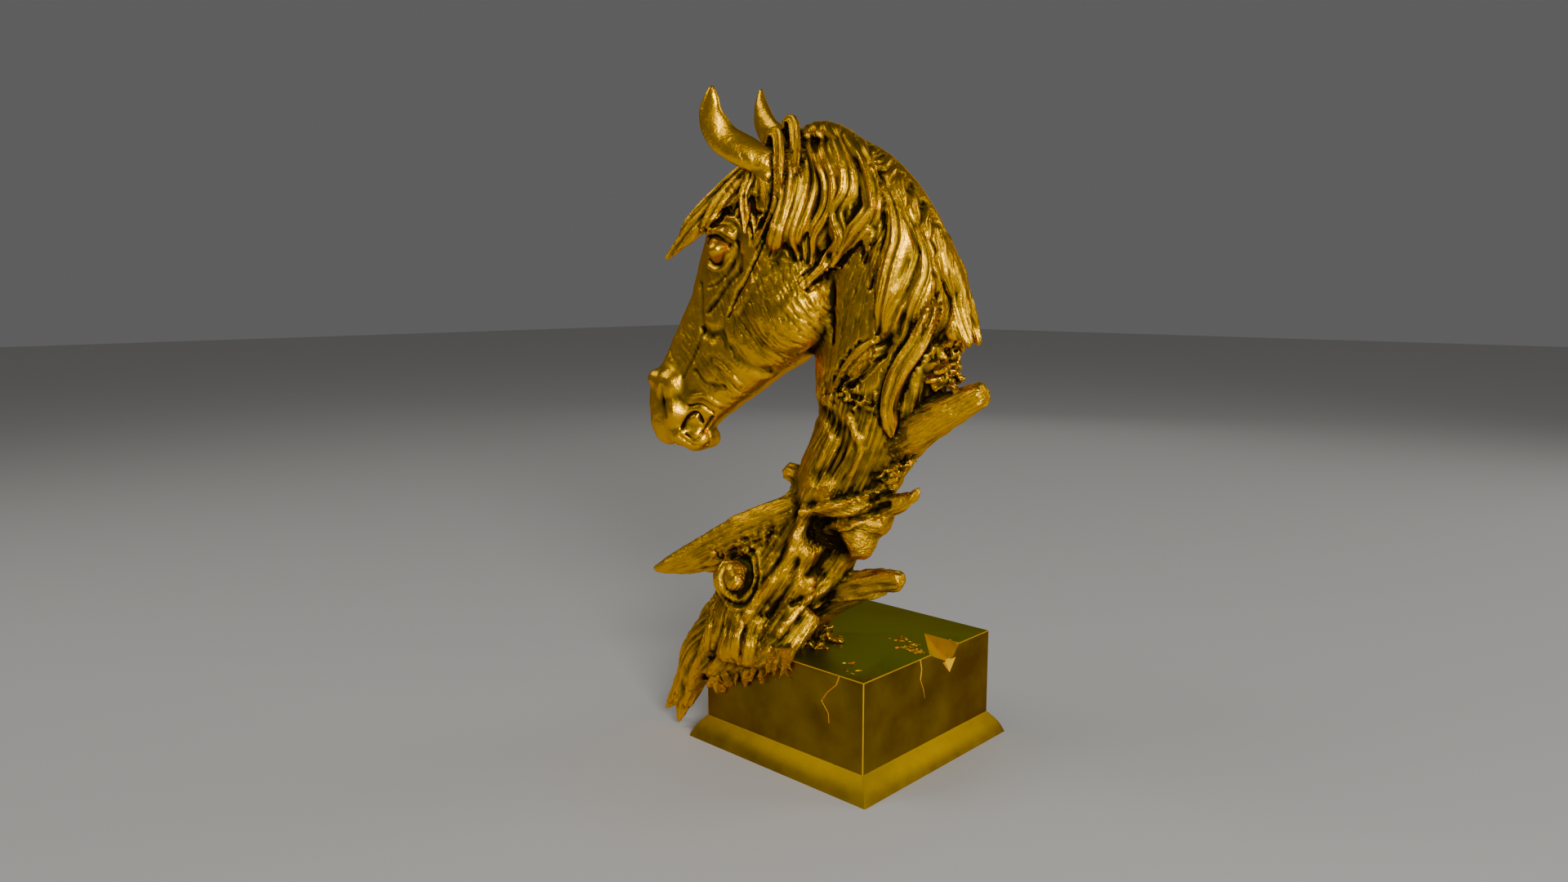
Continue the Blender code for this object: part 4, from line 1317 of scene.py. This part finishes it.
def isOuterEdge(a, b):
    # the upright corners, and the rim of the top
    close = 0.0001
    lean = 0.02
    upright = abs(abs(a.x) - abs(a.y)) < close and abs(a.x - b.x) + abs(a.y - b.y) < lean and a.z != b.z
    return upright or min(a.z, b.z) > plinthTop - close


def addSkirt(plinth):
    # the underside is drawn down and out in steps
    s = plinthSizes
    choose(plinth, "FACE", lambda face: face.normal.z < -0.5)
    half = blockHalf
    for k in range(1, s["skirtSteps"] + 1):
        share = k / s["skirtSteps"]
        wider = blockHalf + s["skirtFlare"] * share + s["skirtBulge"] * math.sin(math.pi * share)
        down = (0, 0, -s["skirtHeight"] / s["skirtSteps"])
        bpy.ops.mesh.extrude_region_move(TRANSFORM_OT_translate={"value": down})
        bpy.ops.transform.resize(value=(wider / half, wider / half, 1))
        half = wider
    bpy.ops.object.mode_set(mode="OBJECT")


def buildPlinth():
    s = plinthSizes
    plinth = addBlock("plinth_block", blockHalf, s["skirtHeight"], plinthTop)
    addSkirt(plinth)
    points = plinth.data.vertices
    choose(plinth, "EDGE", lambda edge: isOuterEdge(*[points[i].co for i in edge.vertices]))
    bpy.ops.mesh.bevel(offset=s["edgeWear"], segments=2)
    bpy.ops.object.mode_set(mode="OBJECT")
    print("plinth with worn edges:", len(plinth.data.polygons), "faces")
    front = (blockHalf - s["frontCrackFromCorner"], -blockHalf, plinthTop)
    side = (blockHalf, s["chipStart"] - blockHalf - s["crackWidth"] * 2, plinthTop)
    for cutter in (
        *chipCutters(),
        crackCutter("frontCrack", front, (1, 0, 0), (0, -1, 0)),
        crackCutter("sideCrack", side, (0, 1, 0), (1, 0, 0)),
    ):
        cutAway(plinth, cutter)
    biteSurface(plinth)
    noteWearAndHighlight(plinth.data)
    print("plinth finished:", len(plinth.data.polygons), "faces")
    return plinth


def biteSurface(plinth):
    # small ragged bites out of the top in the worn places
    rng = random.Random(11)
    flat = (1, 1, plinthSizes["biteFlatness"])
    for x, y, radius, count in plinthSizes["roughPatches"]:
        for _ in range(count):
            size = rng.uniform(*plinthSizes["biteRadius"])
            spot = (x + rng.gauss(0, 0.5) * radius, y + rng.gauss(0, 0.5) * radius, plinthTop * 1000)
            points = []
            for _ in range(plinthSizes["biteCorners"]):
                corner = Vector([rng.uniform(-1, 1) * size * share for share in flat])
                points.append((Vector(spot) + corner) / 1000)
            cutAway(plinth, hull("bite", points))


def noteWearAndHighlight(mesh):
    # broken faces and rubbed edges show the bright metal, partly as a painted highlight; the skirt gets a
    # painted highlight in part
    s = plinthSizes
    wearAndHighlight = []
    for face in mesh.polygons:
        square = max(abs(v) for v in face.normal)
        broken = s["brokenWearAndHighlight"] if square < s["wornFrom"] else 0
        wearAndHighlight.append(s["skirtHighlight"] if face.center.z < s["skirtHeight"] else broken)
    noteOn(mesh, "wearAndHighlight", wearAndHighlight, domain="FACE")


# Finishes

def hexColour(code):
    values = [int(code[i : i + 2], 16) / 255 for i in (1, 3, 5)]
    linear = [v / 12.92 if v <= 0.04045 else ((v + 0.055) / 1.055) ** 2.4 for v in values]
    return (*linear, 1)


def addNode(tree, kind, out, links=None, values=None, **settings):
    # adds a node with its links, values and settings, and gives back one of its outputs
    node = tree.nodes.new("ShaderNode" + kind)
    for name, value in settings.items():
        setattr(node, name, value)
    for name, value in (values or {}).items():
        node.inputs[name].default_value = value
    for name, source in (links or {}).items():
        tree.links.new(source, node.inputs[name])
    return node.outputs[out]


def startGold(name, edge):
    # polished metal, with the gold's own colour at grazing angles
    material = bpy.data.materials.new(name)
    material.use_nodes = True
    shader = material.node_tree.nodes["Principled BSDF"].inputs
    shader["Metallic"].default_value = 1
    shader["Specular Tint"].default_value = hexColour(edge)
    return material, material.node_tree, shader


def paintedReflectionUpward(tree, base, green, start, most):
    # painted green reflection of the light from above: it grows as the surface turns upwards
    normal = addNode(tree, "NewGeometry", "Normal")
    height = addNode(tree, "SeparateXYZ", "Z", {"Vector": normal})
    share = addNode(tree, "MapRange", "Result", {"Value": height}, {"From Min": start, "To Max": most})
    return addNode(tree, "Mix", 2, {0: share, 6: base}, {7: hexColour(green)}, data_type="RGBA")


# colours, then the patterns' sizes in metres: uneven toning, tool marks, and the mould's grit, which
# is drawn coarser than it is, so that it shows
castingFinish = {
    # the crest colour paints a highlight on the crests; the hollow colour paints shade in the hollows,
    # partly the brown lacquer left there
    "crest": "#FFBE00",
    "body": "#A88200",
    "hollow": "#2A1D00",
    # painted green reflection on surfaces that look up
    "upwardReflection": "#6E7004",
    "edge": "#FFD64A",
    "toning": 0.012,
    "toolMarks": 0.006,
    "grit": 0.0012,
    # the streaks are bumped in, and their grooves get painted shade
    "streaks": (1.3, 24),  # mm across and along the grain of the wood and the locks
    "roughness": (0.27, 0.6),
}


def antiqueGold():
    # cast brass with an antique gold finish: a painted highlight on the crests, painted shade in the
    # hollows, partly the brown lacquer left there, and in the grooves of the grain, and a painted green
    # reflection where the surface looks up
    c = castingFinish
    material, tree, shader = startGold("antique_gold_casting", c["edge"])
    place = addNode(tree, "TexCoord", "Object")
    # how sunk each point is, for the painted shade in the hollows and the painted highlight on the crests
    hollow = addNode(tree, "Attribute", "Fac", attribute_name="hollow")
    recessShade = addNode(tree, "Attribute", "Fac", attribute_name="recessShade")
    size = {"Scale": 1 / c["toning"], "Detail": 4}
    toning = addNode(tree, "TexNoise", "Fac", {"Vector": place}, size)
    sunkShade = addNode(tree, "Math", 0, {0: recessShade, 2: hollow}, {1: 0.25}, operation="MULTIPLY_ADD")
    depth = addNode(tree, "MapRange", "Result", {"Value": sunkShade}, {"From Min": -0.9, "From Max": 1.1})
    shifted = addNode(tree, "Math", 0, {0: toning}, {1: 0.25, 2: -0.125}, operation="MULTIPLY_ADD")
    grain = addNode(tree, "Attribute", "Vector", attribute_name="grain")
    wide, long = c["streaks"]
    size = {1: (1 / wide, 1 / wide, 1 / long)}
    stretched = addNode(tree, "VectorMath", 0, {0: grain}, size, operation="MULTIPLY")
    streaks = addNode(tree, "TexNoise", "Fac", {"Vector": stretched}, {"Scale": 1, "Detail": 3})
    streaked = addNode(tree, "Attribute", "Fac", attribute_name="streaked")
    # the streaks' grooves: bumped in, and darkened with painted shade
    grooveBumpAndShade = addNode(tree, "Math", 0, {1: streaks}, {0: 0.5}, operation="SUBTRACT")
    grooveBumpAndShade = addNode(tree, "Math", 0, {0: grooveBumpAndShade, 1: streaked}, operation="MULTIPLY")
    # painted shade from the hollows and the grain's grooves, with the random toning; the ramp paints low
    # values as highlight and high ones as shade
    toningAndShade = addNode(tree, "Math", 0, {0: depth, 1: shifted}, operation="ADD")
    dark = addNode(tree, "Math", 0, {0: grooveBumpAndShade, 2: toningAndShade}, {1: 0.65}, operation="MULTIPLY_ADD")
    colour = addNode(tree, "ValToRGB", "Color", {"Fac": dark})
    stops = colour.node.color_ramp.elements
    stops.new(0.5)
    for stop, (position, shade) in zip(stops, ((0.05, "crest"), (0.5, "body"), (0.95, "hollow"))):
        stop.position = position
        stop.color = hexColour(c[shade])
    tree.links.new(paintedReflectionUpward(tree, colour, c["upwardReflection"], 0.45, 0.65), shader["Base Color"])
    low, high = c["roughness"]
    rough = addNode(tree, "MapRange", "Result", {"Value": dark}, {"To Min": low, "To Max": high})
    tree.links.new(rough, shader["Roughness"])
    size = {"Scale": 1 / c["toolMarks"], "Detail": 2}
    marks = addNode(tree, "TexNoise", "Fac", {"Vector": place}, size)
    size = {"Scale": 1 / c["grit"], "Detail": 3}
    grit = addNode(tree, "TexNoise", "Fac", {"Vector": place}, size)
    bump = addNode(tree, "Bump", 0, {"Height": marks}, {"Strength": 0.5, "Distance": 0.0012})
    links = {"Height": grit, "Normal": bump}
    bump = addNode(tree, "Bump", 0, links, {"Strength": 0.35, "Distance": 0.0004})
    links = {"Height": grooveBumpAndShade, "Normal": bump}
    bump = addNode(tree, "Bump", 0, links, {"Strength": 0.9, "Distance": 0.0013}, invert=True)
    tree.links.new(bump, shader["Normal"])
    return material


# the same for the plinth; smudges dull the bare metal and its painted highlight
plinthFinish = {
    "light": "#A6860A",
    "dark": "#7E5E05",
    # painted green reflection on the top
    "upwardReflection": "#709010",
    # bright gold of the bare metal, also painted as a highlight on the edges, the broken faces and the
    # skirt
    "wearAndHighlight": "#FFCC1A",
    "edge": "#E8C04A",
    "toning": 0.03,
    "smudges": 0.008,
    "grit": 0.0015,
    "roughness": (0.32, 0.5),
}


def antiqueGoldPlinth():
    # the same finish on the smooth plinth, darker, with fine pits, bare and painted brighter as a
    # highlight where it is broken and on its edges, with a painted highlight on the skirt and a painted
    # green reflection on top
    c = plinthFinish
    material, tree, shader = startGold("antique_gold_plinth", c["edge"])
    place = addNode(tree, "TexCoord", "Object")
    size = {"Scale": 1 / c["toning"], "Detail": 5}
    toning = addNode(tree, "TexNoise", "Fac", {"Vector": place}, size)
    colour = addNode(tree, "ValToRGB", "Color", {"Fac": toning})
    stops = colour.node.color_ramp.elements
    for stop, (position, shade) in zip(stops, ((0.35, "dark"), (0.7, "light"))):
        stop.position = position
        stop.color = hexColour(c[shade])
    # painted green reflection on the plinth's top
    colour = paintedReflectionUpward(tree, colour, c["upwardReflection"], 0.8, 0.8)
    bareMetalAndHighlight = addNode(tree, "Attribute", "Fac", attribute_name="wearAndHighlight")
    size = {"Scale": 1 / c["smudges"], "Detail": 3}
    smudge = addNode(tree, "TexNoise", "Fac", {"Vector": place}, size)
    levels = {"From Min": 0.35, "From Max": 0.6, "To Min": 0.75}
    kept = addNode(tree, "MapRange", "Result", {"Value": smudge}, levels)
    # where the bare metal and the painted highlight show, less where smudged
    wearAndHighlight = addNode(tree, "Math", 0, {0: bareMetalAndHighlight, 1: kept}, operation="MULTIPLY")
    bright = {7: hexColour(c["wearAndHighlight"])}
    colour = addNode(tree, "Mix", 2, {0: wearAndHighlight, 6: colour}, bright, data_type="RGBA")
    tree.links.new(colour, shader["Base Color"])
    low, high = c["roughness"]
    rough = addNode(tree, "MapRange", "Result", {"Value": toning}, {"To Min": low, "To Max": high})
    rough = addNode(tree, "Math", 0, {0: wearAndHighlight, 2: rough}, {1: 0.2}, operation="MULTIPLY_ADD")
    tree.links.new(rough, shader["Roughness"])
    size = {"Scale": 1 / c["grit"], "Detail": 4}
    grit = addNode(tree, "TexNoise", "Fac", {"Vector": place}, size)
    bump = addNode(tree, "Bump", 0, {"Height": grit}, {"Strength": 0.25, "Distance": 0.0003})
    tree.links.new(bump, shader["Normal"])
    return material


def paleFloor():
    # matt board, so that the gold has something plain to mirror
    material = bpy.data.materials.new("pale_matt_floor")
    material.use_nodes = True
    shader = material.node_tree.nodes["Principled BSDF"].inputs
    shader["Base Color"].default_value = hexColour(studio["floor"])
    shader["Roughness"].default_value = 0.8
    return material


def dress(obj, material):
    obj.data.materials.clear()
    obj.data.materials.append(material)


# Stage, light and camera. Each light has its place, the side of its panel and its power in watts. The
# camera is worked out from the plinth's perspective: 45 degrees of view upright.
studio = {
    "floor": "#D9D7D2",
    "floorSize": 12,
    "surround": "#C9C9C9",
    "surroundStrength": 0.2,
    "aim": (0, 0, 0.22),
    "lights": {
        "key": ((1.3, -0.9, 0.75), 0.6, 17),
        "fill": ((-0.8, -0.8, 1.3), 0.9, 4.5),
        "rim": ((1.0, 1.3, 0.9), 0.9, 5),
        "back": ((-0.8, 1.4, 0.8), 0.9, 0.9),
    },
    "camera": (0.4258, -0.5160, 0.2908),
    "cameraTurn": 43.13,
    "cameraDown": 8.19,
    "lens": 24.44,
}


def buildStage():
    deselectAll()
    bpy.ops.mesh.primitive_plane_add(size=studio["floorSize"], location=(0, 0, 0))
    floor = bpy.context.active_object
    floor.name = "floor"
    dress(floor, paleFloor())
    world = bpy.context.scene.world or bpy.data.worlds.new("studio")
    bpy.context.scene.world = world
    world.use_nodes = True
    background = world.node_tree.nodes["Background"].inputs
    background["Color"].default_value = hexColour(studio["surround"])
    background["Strength"].default_value = studio["surroundStrength"]


def addLights():
    for name, (place, size, power) in studio["lights"].items():
        deselectAll()
        bpy.ops.object.light_add(type="AREA", location=place)
        lamp = bpy.context.active_object
        lamp.name = name
        lamp.data.shape = "SQUARE"
        lamp.data.size = size
        lamp.data.energy = power
        aim = Vector(studio["aim"]) - Vector(place)
        lamp.rotation_euler = aim.to_track_quat("-Z", "Y").to_euler()


def addCamera():
    deselectAll()
    bpy.ops.object.camera_add(location=studio["camera"])
    camera = bpy.context.active_object
    down, turn = math.radians(studio["cameraDown"]), math.radians(studio["cameraTurn"])
    camera.rotation_euler = (math.pi / 2 - down, 0, turn)
    camera.data.lens = studio["lens"]
    camera.data.sensor_width = 36
    camera.data.clip_start = 0.01
    bpy.context.scene.camera = camera


addCamera()
casting = buildCasting()
pick(casting)
bpy.ops.object.shade_smooth()
dress(casting, antiqueGold())
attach(casting, "root")
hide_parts("horse_and_driftwood")
plinth = buildPlinth()
pick(plinth)
bpy.ops.object.shade_smooth_by_angle(angle=math.radians(28))
dress(plinth, antiqueGoldPlinth())
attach(plinth, "root")
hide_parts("plinth")
buildStage()
addLights()
print("stage and lights ready")
